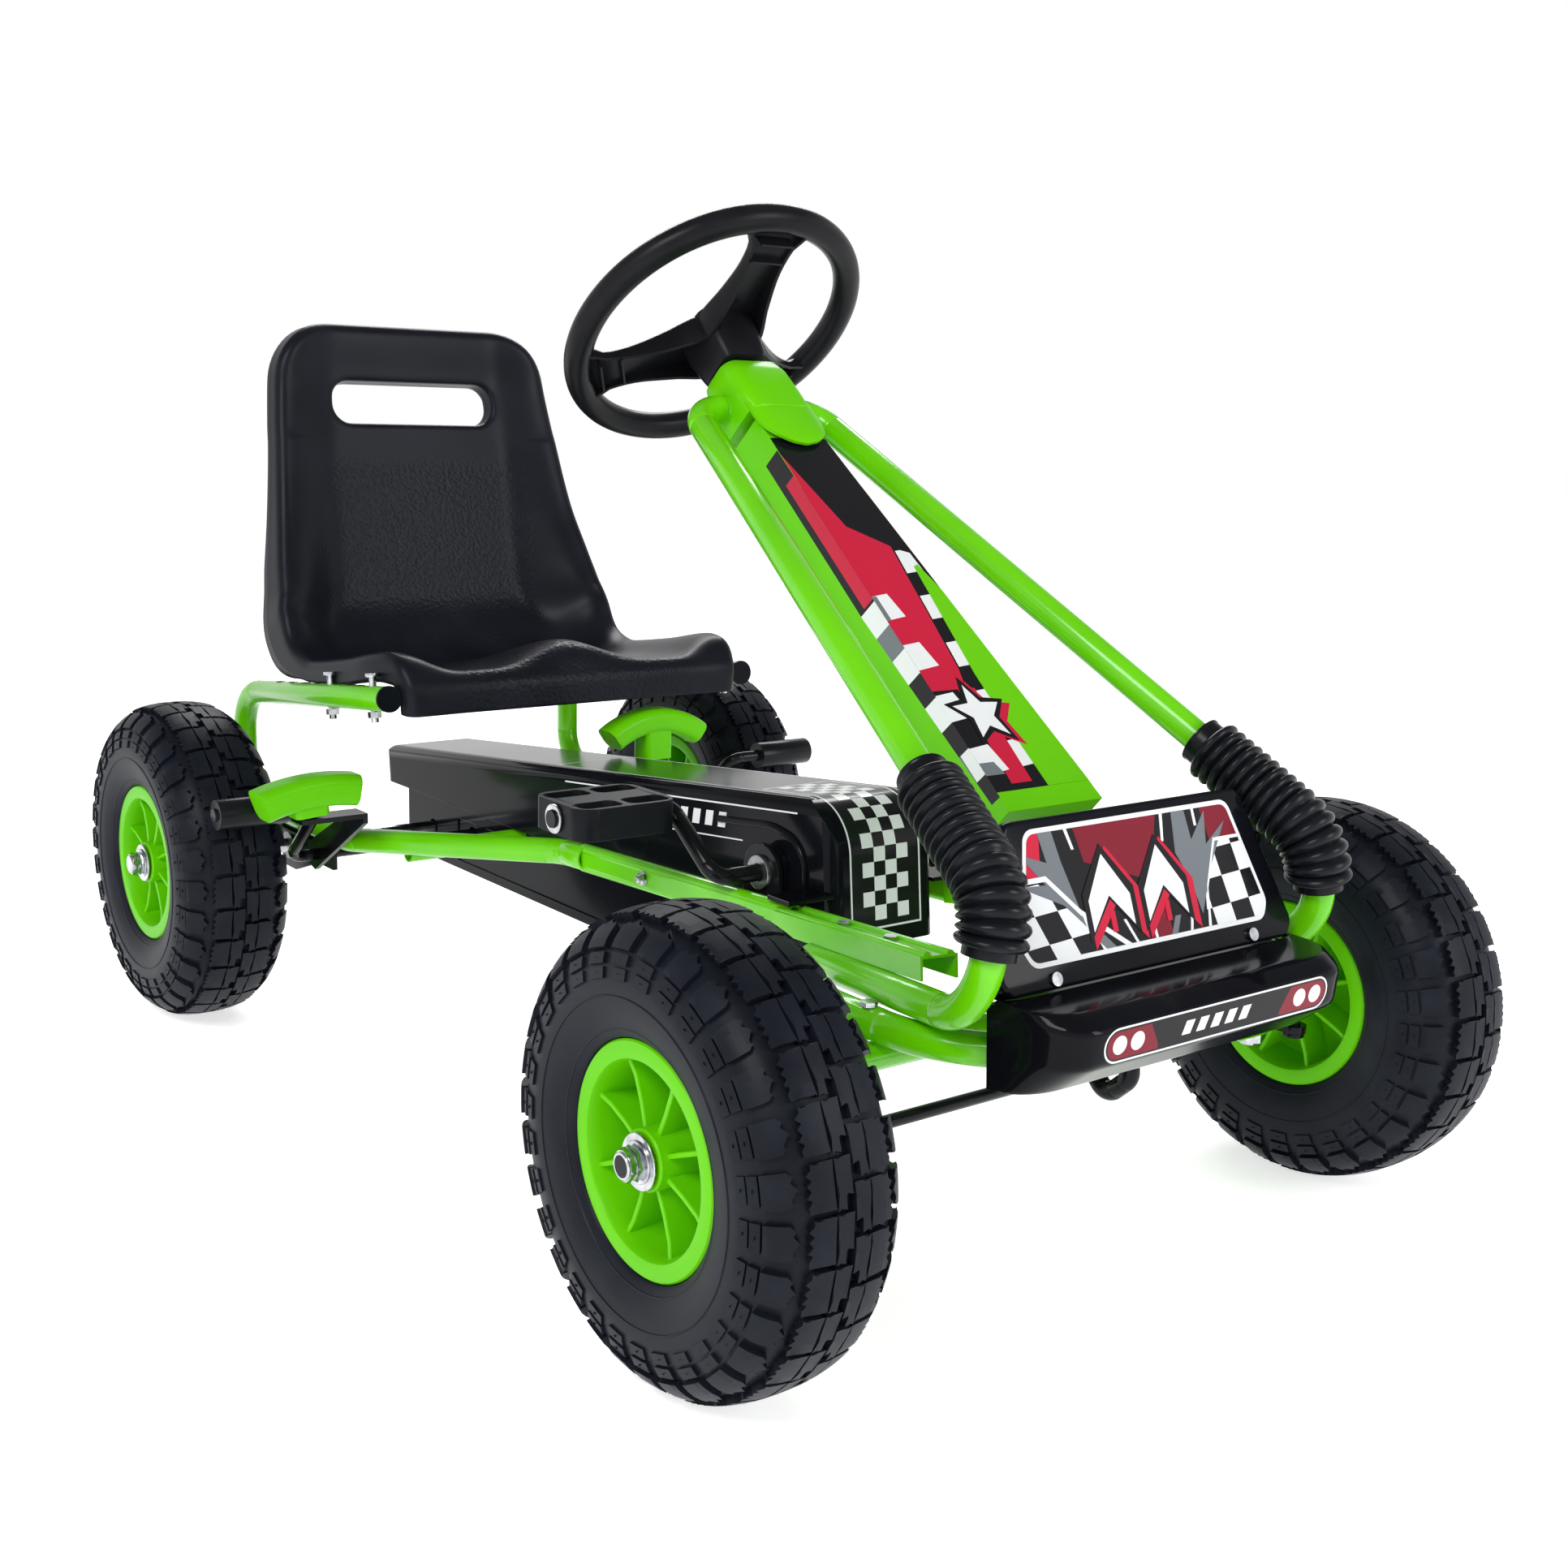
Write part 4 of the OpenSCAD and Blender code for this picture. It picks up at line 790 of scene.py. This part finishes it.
def steering_spokes(shape):
    """Three hollow spokes, open below, each with two ribs across."""
    for i in range(3):
        turn = COLUMN @ Matrix.Rotation(math.tau * i / 3, 4, "Z")
        rows = []
        for t in shares(14):
            reach = 12 + 86 * t
            half = mix([(0, 23), (0.35, 17.5), (0.6, 15.5), (0.85, 18), (1, 25)], t)
            top = mix([(0, -1.5), (0.8, -2), (1, 3)], t)
            deep = mix([(0, -24), (0.3, -19), (1, -8)], t)
            outer = [(half, deep), (half + 0.4, deep + 4), (half + 0.4, top - 3), (half - 0.6, top - 1),
                     (half - 2.6, top)]
            inner = [(half - 3, top - 5), (half - 2.6, deep)]
            section = [*outer, (0, top + 0.8), *[(-y, z) for y, z in outer[::-1]],
                       *[(-y, z) for y, z in inner[::-1]], (0, top - 4.6), *inner]
            rows.append([(reach, y, z) for y, z in section])
        shape.rows(rows, place=turn)
        for reach in (74, 90):
            rib = [(reach, -12), (reach + 1.6, -12), (reach + 1.6, -4), (reach, -4)]
            shape.rows([[(x, y, z) for x, z in rib] for y in (-14, 14)], place=turn)


def make_steering_wheel():
    """Round grip, spokes and a deep square boss, in the column's frame."""
    shape = Shape()
    rows = []
    for a in shares(144)[:-1]:
        turn = Matrix.Rotation(math.tau * a, 4, "Z")
        rows.append([turn @ Vector((RING_R + grip_radius(b) * math.cos(b), 0, grip_radius(b) * math.sin(b)))
                     for b in [math.tau * n / 28 for n in range(28)]])
    shape.rows(rows, ends="join", place=COLUMN)
    steering_spokes(shape)
    boss = []
    for z, half, r in ((2, 17, 12), (1.2, 20, 13), (-2, 24, 12), (-20, 22.5, 10), (-40, 19.2, 8),
                       (-43, 18.4, 8), (-43, 13, 6.5), (-30, 12.4, 6.2)):
        row = []
        for sx, sy, start in ((1, 1, 0), (-1, 1, 90), (-1, -1, 180), (1, -1, 270)):
            for k in range(6):
                a = math.radians(start + 18 * k)
                row.append((sx * (half - r) + r * math.cos(a), sy * (half - r) + r * math.sin(a), z))
        boss.append(row)
    shape.rows(boss, place=COLUMN)
    make_piece("steering_wheel_looks", shape, WHEEL_BLACK, "steering", ["steering_wheel"],
               sharp=38)
    cap = Shape()
    button = ((15, 1.5), (15, 3.2), (14.2, 4), (10, 4.8), (4, 5.2))
    cap.rows([[(*p, z) for p in circle(r, 40)] for r, z in button], place=COLUMN)
    make_piece("steering_wheel_cap", cap, GLOSS, "steering")


WHEEL_BLACK = surface("wheel_black", (0.007, 0.007, 0.009), (0.012, 0.012, 0.015), 0.31, 0.06, 24, 1100, 0.02)
make_steering_wheel()


# ---------- Printed foils ----------

RED = flat_ink("ink_red", (0.56, 0.012, 0.045))
MAROON = flat_ink("ink_maroon", (0.20, 0.008, 0.022))
WHITE = flat_ink("ink_white", (0.80, 0.82, 0.83))
GREY = flat_ink("ink_grey", (0.16, 0.18, 0.20))
BLACK = flat_ink("ink_black", (0.007, 0.007, 0.009))
LIME = flat_ink("ink_lime", (0.14, 0.58, 0.002))
LAYER = 0.05


def clip(outline, border):
    """Part of an outline inside a convex border that runs anticlockwise."""
    for a, b in zip(border, border[1:] + border[:1]):
        kept = []
        side = [(b[0] - a[0]) * (p[1] - a[1]) - (b[1] - a[1]) * (p[0] - a[0]) for p in outline]
        for i, p in enumerate(outline):
            k = (i + 1) % len(outline)
            q = outline[k]
            if side[i] >= 0:
                kept.append(p)
            if (side[i] > 0 > side[k]) or (side[i] < 0 < side[k]):
                t = side[i] / (side[i] - side[k])
                kept.append((p[0] + (q[0] - p[0]) * t, p[1] + (q[1] - p[1]) * t))
        outline = kept
    return outline


def rounded(corners, radius, steps=6):
    """Convex anticlockwise outline with round corners."""
    line = []
    for before, corner, after in zip([corners[-1]] + corners, corners, corners[1:] + corners[:1]):
        corner = Vector(corner)
        one = (Vector(before) - corner).normalized()
        two = (Vector(after) - corner).normalized()
        half = one.angle(two) / 2
        centre = corner + (one + two).normalized() * radius / math.sin(half)
        start = math.atan2(*(corner + one * radius / math.tan(half) - centre).yx)
        turn = math.pi - 2 * half
        line += [(centre.x + radius * math.cos(a), centre.y + radius * math.sin(a))
                 for a in [start + turn * t for t in shares(steps)]]
    return line


def inset(corners, gap):
    """The same convex anticlockwise outline, moved in by a gap on every side."""
    lines = []
    for a, b in zip(corners, corners[1:] + corners[:1]):
        ahead = (Vector(b) - Vector(a)).normalized()
        lines.append((Vector(a) + Vector((-ahead.y, ahead.x)) * gap, ahead))
    out = []
    for (p, d), (q, e) in zip([lines[-1]] + lines, lines):
        t = ((q.x - p.x) * e.y - (q.y - p.y) * e.x) / (d.x * e.y - d.y * e.x)
        out.append(tuple(p + d * t))
    return out


def checkers(start, right, up, columns, rows, odd=0):
    """Every second cell of a slanted grid."""
    start, right, up = Vector(start), Vector(right), Vector(up)
    cells = []
    for i in range(columns):
        for j in range(rows):
            if (i + j) % 2 == odd:
                at = start + right * i + up * j
                cells.append([tuple(at), tuple(at + right), tuple(at + right + up), tuple(at + up)])
    return cells


def mirrored_patch(points, side):
    """Outline of (along, up) points for the print on one side of the kart, kept anticlockwise."""
    outline = [(-side * x, y) for x, y in points]
    return outline if side < 0 else outline[::-1]


def print_foil(name, place, layers):
    """Prints layers of (ink, border, outlines) on a plane, each layer a hair above the one before."""
    shapes = {}
    for level, (ink, border, outlines) in enumerate(layers):
        shape = shapes.setdefault(ink.name, (ink, Shape()))[1]
        for outline in outlines:
            patch = clip(list(map(tuple, outline)), list(map(tuple, border)))
            if len(patch) > 2:
                shape.prism(patch, -0.02, LAYER * (level + 1), place)
    for ink, shape in shapes.values():
        if shape.points:
            make_piece(f"{name}_{ink.name}", shape, ink, "root")


def frame_of(origin, across, up):
    """Matrix of a plane from its origin, its direction across and its direction up."""
    across, up = Vector(across).normalized(), Vector(up).normalized()
    return Matrix.Translation(origin) @ Matrix((across, up, across.cross(up))).transposed().to_4x4()


# ---------- Print on the front shield ----------

PANEL = frame_of((460.5, 0, 211), (0, 1, 0), (-33.5, 0, 89))


def chevron(x, y, half, tall, thick, grow=0):
    """Broad arrow head that points up, grown by a gap on every side."""
    low, high = y - thick - 1.4 * grow, y + thick / 2 + grow
    notch, tip = y + tall - half - thick - 0.6 * grow, y + tall - half + thick + 1.5 * grow
    return [(x - half - grow, low), (x, notch), (x + half + grow, low), (x + half + grow, high), (x, tip),
            (x - half - grow, high)]


def print_panel():
    """Chequered corners, grey flashes, fine lines and two arrow heads, inside a white line."""
    whole = [(-130, 0), (130, 0), (130, 110), (-130, 110)]
    edge = [(-98, 13), (98, 13), (104, 24), (86, 89), (-86, 89), (-104, 24)]
    field = inset(edge, 2.8)
    rim = rounded(edge, 9)
    inside = rounded(field, 7)
    left = [(-110, 10), (-14, 10), (-54, 38), (-76, 60), (-110, 60)]
    right = [(46, 10), (110, 10), (110, 66), (66, 66), (52, 40)]
    flashes = [[(-77, 92), (-66, 92), (-62, 68), (-52, 30), (-66, 44), (-97, 58), (-77, 57), (-93, 76),
                (-73, 69)],
               [(36, 92), (46, 92), (48, 68), (64, 84), (60, 64), (80, 76), (60, 50), (45, 24), (40, 46),
                (32, 62)]]
    bars = [[(-34, 10), (-26, 10), (-40, 24), (-48, 24)], [(12, 10), (17, 10), (26, 26), (21, 26)]]
    lines = [[(-57, 92), (-54.5, 92), (-50, 74), (-52, 74)], [(26, 92), (28.5, 92), (24, 70), (22, 70)],
             [(53, 92), (55, 92), (55, 76), (53, 76)], [(-12, 10), (-10, 10), (-20, 30), (-22, 30)],
             [(2, 10), (4, 10), (2, 34), (0, 34)], [(30, 10), (32, 10), (38, 30), (36, 30)],
             [(-110, 62), (-76, 62), (-54, 40), (-12, 11), (-16, 10), (-55, 37), (-77, 59), (-110, 59)],
             [(46, 8), (53.5, 40), (67, 67), (110, 67), (110, 65), (68, 65), (54, 38), (49, 8)]]
    motif = [(-30, 38), (16, 38)]
    arrows = [chevron(x, y, 17, 36, 12) for x, y in motif]
    black = [chevron(x, y, 17, 36, 12, 4) for x, y in motif]
    shadow = [chevron(x + 4, y - 3, 17, 36, 12, 5) for x, y in motif]
    core = [[(x - 2, 24), (x + 2, 24), (x + 2, 36), (x - 2, 36)] for x, _ in motif]
    print_foil("panel_print", PANEL, [
        (WHITE, rim, [whole]),
        (BLACK, inside, [whole]),
        (MAROON, inside, [[(-52, 110), (-44, 66), (4, 50), (-2, 6), (18, 6), (12, 60), (30, 110)],
                          [(56, 110), (64, 66), (110, 66), (110, 110)]]),
        (RED, inside, [[(-120, 110), (-70, 110), (-80, 60), (-120, 60)]]),
        (BLACK, inside, [left, right]),
        (WHITE, clip(left, inside), checkers((-112, 6), (18, 1), (-7, 16.5), 8, 5)),
        (WHITE, clip(right, inside), checkers((40, 8), (17, 1), (-3, 17), 5, 5, 1)),
        (GREY, inside, flashes + bars),
        (WHITE, inside, lines),
        (RED, inside, shadow),
        (BLACK, inside, black),
        (WHITE, inside, arrows),
        (RED, inside, core)])


print_panel()


# ---------- Print on the bumper ----------

BUMPER = frame_of((507, 0, 192.5), (0, 1, 0), (2, 0, 21))


def print_bumper():
    """Band with round ends: lamps of two discs at the ends and slanted bars between them."""
    band, black, inner = [stadium(84.8, 10.2 - gap, 12) for gap in (0, 1.2, 2.2)]
    whole = [(-120, -20), (120, -20), (120, 20), (-120, 20)]
    lamp = [(110, -20), (50, -20), (52, -5), (60, 9), (70, 20), (110, 20)]
    lamps = [[(s * x, y) for x, y in lamp] for s in (-1, 1)]
    discs = [circle(5.4, 28, (s * x, 0)) for s in (-1, 1) for x in (83, 69)]
    bars = [[(x, -4), (x + 7, -4), (x + 10, 4), (x + 3, 4)] for x in (-33, -21, -9, 3, 15)]
    print_foil("bumper_print", BUMPER, [
        (WHITE, band, [whole]), (BLACK, black, [whole]), (MAROON, inner, lamps),
        (WHITE, inner, discs + bars)])


print_bumper()


# ---------- Print on the steering column's cover ----------

# The cover's front in the column's frame: its upper edge, its run down and forwards, its half-widths
COVER_TOP = Vector((20, 0, -104))
COVER_DOWN = 356
COVER_FORWARD = 54.5
COVER_HALF = (23, 40)


def cover_area(*points):
    """Outline on the cover's front from points as (share of the width, distance down from the top)."""
    top, foot = COVER_HALF
    halves = [top + (foot - top) * s / math.hypot(COVER_DOWN, COVER_FORWARD) for _, s in points]
    return [(half * (2 * share - 1), -s) for half, (share, s) in zip(halves, points)]


def star(at, outer, inner):
    """Tall star with five points."""
    return [(at[0] + r * math.sin(math.tau * i / 10), at[1] + r * math.cos(math.tau * i / 10) * 1.2)
            for i, r in enumerate([outer, inner] * 5)]


def print_cover():
    """Long lens, blocks, a chequered strip, a green fin and a star, from edge to edge of the front."""
    place = COLUMN @ frame_of(COVER_TOP, (0, 1, 0), (-COVER_FORWARD, 0, COVER_DOWN))
    area = cover_area
    face = area((0, 345), (1, 345), (1, 22), (0, 22))
    lens = area((0, 40), (0.29, 112), (0.74, 132), (0.60, 188), (0.47, 246), (0.40, 262), (0, 262))
    column = area((0.40, 345), (1, 345), (1, 140), (0.76, 134), (0.62, 188), (0.49, 246))
    fin = area((0.55, 345), (1, 345), (1, 175), (0.93, 150), (0.86, 152), (0.76, 190), (0.62, 250),
               (0.57, 300))
    blocks = [area((0, s + 22), (0.27, s + 19), (0.22, s - 2), (0, s)) for s in (178, 222, 266, 310)]
    squares = [area((0.3, s + 21), (0.95, s + 16), (0.95, s - 5), (0.3, s))
               for s in (140, 182, 224, 266, 308)]
    dashes = [area((0, 200), (0.06, 200), (0.06, 178), (0, 178)),
              area((0, 332), (0.2, 332), (0.16, 322), (0, 322))]
    star_at = (-9, -283)
    star_edge = star(star_at, 26, 13)
    print_foil("cover_print", place, [
        (BLACK, face, [face]),
        (WHITE, clip(column, face), squares),
        (RED, face, [lens, area((0.2, 340), (0.42, 340), (0.5, 262), (0.3, 262))]),
        (WHITE, face, blocks),
        (GREY, face, dashes),
        (LIME, face, [fin]),
        (RED, face, [[(x + 4, y - 4) for x, y in star_edge]]),
        (BLACK, face, [star_edge]),
        (WHITE, face, [star(star_at, 20, 9)])])


def print_cover_sides():
    """Strips down the sides of the cover that carry on the print of its front."""
    top, foot = COVER_HALF
    for side in (-1, 1):
        edge = COVER_TOP + Vector((0, top * side, 0))
        place = COLUMN @ frame_of(edge, (-side, 0, 0), (0, (top - foot) * side, COVER_DOWN))

        def band(front, back, s0, s1):
            """Patch on the side, between two distances behind its front edge."""
            corners = ((s1, back), (s1, front), (s0, front), (s0, back))
            return mirrored_patch([(COVER_FORWARD * s / COVER_DOWN - b, -s) for s, b in corners], side)

        face = mirrored_patch([(-21, -24), (44, -345), (56, -345), (3, -24)], side)
        print_foil(f"cover_side_print_{side + 1}", place, [
            (BLACK, face, [band(0, 17, 34, 345)]),
            (WHITE, face, [band(0, 17, s, s + 21) for s in (180, 222, 264, 306)]),
            (GREY, face, [band(0, 17, 201, 222), band(9, 17, 306, 327)]),
            (RED, face, [band(0, 11, 60, 178)])])


print_cover()
print_cover_sides()


# ---------- Chain guard ----------

GUARD_SLOPE = math.radians(5.8)
GUARD_AHEAD = Vector((math.cos(GUARD_SLOPE), 0, math.sin(GUARD_SLOPE)))
GUARD_UP = Vector((-math.sin(GUARD_SLOPE), 0, math.cos(GUARD_SLOPE)))
GUARD_REAR = Vector((-455, 0, 198))
GUARD_LENGTH = 671
GUARD_HALF = 45
NOSE_R = 38
NOSE_ARC = NOSE_R * math.pi / 2
GUARD_FLAT = GUARD_LENGTH - NOSE_R


def guard_point(run, across, lift):
    """Point at a lift above the guard's top, which runs on over the nose and down its front."""
    if run <= GUARD_FLAT:
        u, w = run, lift
    elif run <= GUARD_FLAT + NOSE_ARC:
        a = (run - GUARD_FLAT) / NOSE_R
        u, w = GUARD_FLAT + (NOSE_R + lift) * math.sin(a), (NOSE_R + lift) * math.cos(a) - NOSE_R
    else:
        u, w = GUARD_LENGTH + lift, -NOSE_R - (run - GUARD_FLAT - NOSE_ARC)
    return GUARD_REAR + GUARD_AHEAD * u + GUARD_UP * w + Vector((0, across, 0))


def nose_patch(shape, run0, run1, y0, y1, lift):
    """Thin patch on the guard's top that follows its bend."""
    count = max(1, math.ceil((run1 - run0) / 4))
    ring = ((y0, -0.05), (y1, -0.05), (y1, lift), (y0, lift))
    shape.rows([[guard_point(run0 + (run1 - run0) * t, y, w) for y, w in ring] for t in shares(count)])


def print_guard():
    """Chequered flag over the nose in a white border, and a fine line round the flat of the top."""
    white, black = Shape(), Shape()
    low = GUARD_FLAT + NOSE_ARC + 52
    high = GUARD_LENGTH - 96
    half, border, cell = 31, 1.4, 10
    nose_patch(black, high, low, -half, half, 0.05)
    for y in (-half, half - border):
        nose_patch(white, high, low, y, y + border, 0.1)
    for run in (high, low - border):
        nose_patch(white, run, run + border, -half, half, 0.1)
    for row in range(16):
        for column in range(4):
            if (row + column) % 2:
                run = low - 6 - cell * (row + 1)
                nose_patch(white, run, run + cell, cell * (column - 2), cell * (column - 1), 0.1)
    line_rear, line_half = 300, 36
    for y in (-line_half, line_half - 1):
        nose_patch(white, line_rear, GUARD_FLAT + 12, y, y + 1, 0.08)
    nose_patch(white, line_rear, line_rear + 1, -line_half, line_half, 0.08)
    make_piece("guard_print_black", black, BLACK, "root")
    make_piece("guard_print_white", white, WHITE, "root")


def print_guard_sides():
    """Chequers, slanted bars and two fine lines on each side of the guard."""
    for side in (-1, 1):
        place = frame_of(GUARD_REAR + Vector((0, GUARD_HALF * side, 0)), GUARD_AHEAD * -side, GUARD_UP)

        def patch(u0, u1, w0, w1, slant=0):
            return mirrored_patch([(u0, w0), (u1, w0), (u1 + slant, w1), (u0 + slant, w1)], side)

        face = patch(320, 640, -40, -9)
        squares = [patch(394 + 13 * i, 407 + 13 * i, w, w + 10, -2)
                   for i, w in ((0, -23), (2, -23), (4, -23), (1, -33), (3, -33))]
        bars = [patch(u, u + 9, -28, -17, 3) for u in (476, 492, 508, 524, 540)]
        lines = [patch(330, 634, -11.2, -10), patch(462, 570, -35.6, -34.6)]
        print_foil(f"guard_side_print_{side + 1}", place, [(WHITE, face, squares + bars + lines)])


print_guard()
print_guard_sides()


def make_guard_arch():
    """Moulded lip over the crank and a ring round its axle, on both sides of the guard."""
    shape = Shape()
    for side in (-1, 1):
        y = side * (GUARD_HALF + 0.4)
        path = bent_path([(88, y, 231), (150, y, 238), (187, y, 232), (189, y, 170)], [60, 26], 2)
        shape.rows(along(path, [circle(2.6, 16)] * len(path)))
        ring = [(15, 0.2), (18.5, 0.2), (18.5, 3), (17, 3.8), (15, 3.8)]
        shape.lathe([(r, y + side * out) for r, out in ring], 48, Matrix.Translation((152, 0, 207)))
    make_piece("guard_arches", shape, GLOSS, "root")


make_guard_arch()


# ---------- Front shells ----------

def make_panel():
    """Shield with round corners, a soft front edge and a hollow back."""
    corners = [(-118.5, 0), (118.5, 0), (124, 10), (100, 95), (-100, 95), (-124, 10)]

    def level(gap, z):
        return [(x, y, z) for x, y in rounded(inset(corners, gap), max(9 - gap, 2) if gap else 9)]

    levels = ((3, -3), (3, -14), (0, -14), (0, -2.6), (0.4, -1.1), (1.2, -0.3), (2.4, 0))
    shape = Shape()
    shape.rows([level(gap, z) for gap, z in levels], place=PANEL)
    make_piece("front_panel_looks", shape, GLOSS, "root", ["front_panel"])


BUMPER_LIP_X = 450
BUMPER_END_X = 474
BUMPER_FRONT_X = 509
BUMPER_HALF = 124
BUMPER_CORNER = 26


def make_bumper():
    """Rounded shell that hooks round the hoop, with closed ends and a notch for the tie rods."""
    outer = bent_path([(440, 158, 0), (478, 160, 0), (506, 182, 0), (508, 203, 0), (496, 210, 0),
                       (461, 210.5, 0), (455, 205, 0), (440, 205, 0)], [16, 9, 6, 10, 4, 3], 2)
    inner = bent_path([(440, 161, 0), (477, 163, 0), (503, 183.5, 0), (505, 202, 0), (495, 207, 0),
                       (462, 207.5, 0), (456, 201.5, 0), (440, 201.5, 0)], [13, 6, 3, 8, 3, 3], 2)
    stations = [-124, -123.4, -121.5, -118.5, -114.5, -110, -105, -100, -94, -86, -70, -50, -38, -38, -20, 0]
    stations += [-y for y in stations[-2::-1]]
    section = [(max(p.x, BUMPER_LIP_X if p.y < 195 else 443), p.y) for p in outer + inner[::-1]]

    def reach(x, share):
        return BUMPER_LIP_X + (x - BUMPER_LIP_X) * share

    notch_from = stations.index(-38) + 1
    shape = Shape()
    rows = []
    for i, y in enumerate(stations):
        t = min(max((BUMPER_HALF - abs(y)) / BUMPER_CORNER, 0), 1)
        front = BUMPER_END_X + (BUMPER_FRONT_X - BUMPER_END_X) * (1 - (1 - t) ** 2) ** 0.5
        share = (front - BUMPER_LIP_X) / (BUMPER_FRONT_X - BUMPER_LIP_X)
        notch = notch_from <= i < len(stations) - notch_from
        rows.append([(max(reach(x, share), 456 if notch and z < 168 else 0), y, z) for x, z in section])
    shape.rows(rows)
    end_share = (BUMPER_END_X - BUMPER_LIP_X) / (BUMPER_FRONT_X - BUMPER_LIP_X)
    for side in (-1, 1):
        shape.rows([[(reach(x, end_share), y, z) for x, z in section[:len(outer)]]
                    for y in (side * 121, side * 123.9)])
    make_piece("bumper_looks", shape, GLOSS, "root", ["bumper"])


# The hood's section down the column as (z, front, back, half-width, corner radius)
HOOD = [(-48, 15, -14, 20, 9), (-48.6, 17.5, -16, 22.5, 9.5), (-51, 20, -18, 24.4, 10),
        (-62, 23.8, -19, 26, 10), (-80, 25.4, -20.5, 27.2, 10), (-98, 27, -22, 27.5, 10),
        (-99, 26.4, -21.6, 27.2, 10)]


def make_column_cap():
    """Hood over the top of the legs, with a rounded tongue that lies on the cover."""
    shape = Shape()
    rows = []
    for z, front, back, half, r in HOOD:
        corners = [(back, -half), (front, -half), (front, half), (back, half)]
        rows.append([(x, y, z) for x, y in rounded(corners, r)])
    shape.rows(rows, place=COLUMN)
    rows = []
    for share in shares(24):
        z = -92 - 44 * share
        t = max(0, (-z - 104) / 32.01)
        half = 26.8 * (1 - t ** 2.4) ** 0.5 + 0.3
        front = 27 + (-z - 100) * 0.125 - 1.5 * t ** 6
        across = [half * (2 * k - 1) for k in shares(16)]
        row = [(front - 4.2 * abs(y / 27.5) ** 4, y, z) for y in across]
        row += [(x - 2.2, y, z) for x, y, z in row[::-1]]
        rows.append(row)
    shape.rows(rows, place=COLUMN)
    make_piece("column_cap_looks", shape, PLASTIC, "root", ["column_cap"])


make_panel()
make_bumper()
make_column_cap()


# ---------- Small fittings ----------

RAIL_SLOPE = math.radians(6.4)
RAIL_ACROSS = 170
RAIL_FRONT = (-185, 298.15)


def make_rail_slot_painted_shade():
    """Adjustment slots in the tops of the seat rails: painted shade, drawn as dark stadiums a hair above them
    in place of the shaded openings.
    """
    shape = Shape()
    ahead = (math.cos(RAIL_SLOPE), 0, math.sin(RAIL_SLOPE))
    for side in (-1, 1):
        for x in (-396, -369, -342, -315, -252, -236):
            top = RAIL_FRONT[1] + math.tan(RAIL_SLOPE) * (x - RAIL_FRONT[0])
            place = frame_of((x, side * RAIL_ACROSS, top), ahead, (0, 1, 0))
            shape.prism(stadium(3.4, 2.6, 8), -0.5, 0.12, place)
    # The dark matt patches are painted shade standing in for the slots' openings.
    make_piece("rail_slot_painted_shade", shape, MATT, "root")


def make_lock_nuts():
    """Nuts and washers on the sides of the floor runs."""
    shape = Shape()
    for side in (-1, 1):
        place = frame_of((45, side * 81.05, 182.2), (1, 0, 0), (0, 0, -side))
        shape.prism(circle(5.4, 24), 0, 1, place)
        shape.prism(circle(4.6, 6), 1, 4.4, place, ease=0.5)
        shape.prism(circle(2.6, 16), 4.4, 6.6, place, ease=0.6)
    make_piece("floor_run_nuts", shape, PLATED, "root")


make_rail_slot_painted_shade()
make_lock_nuts()
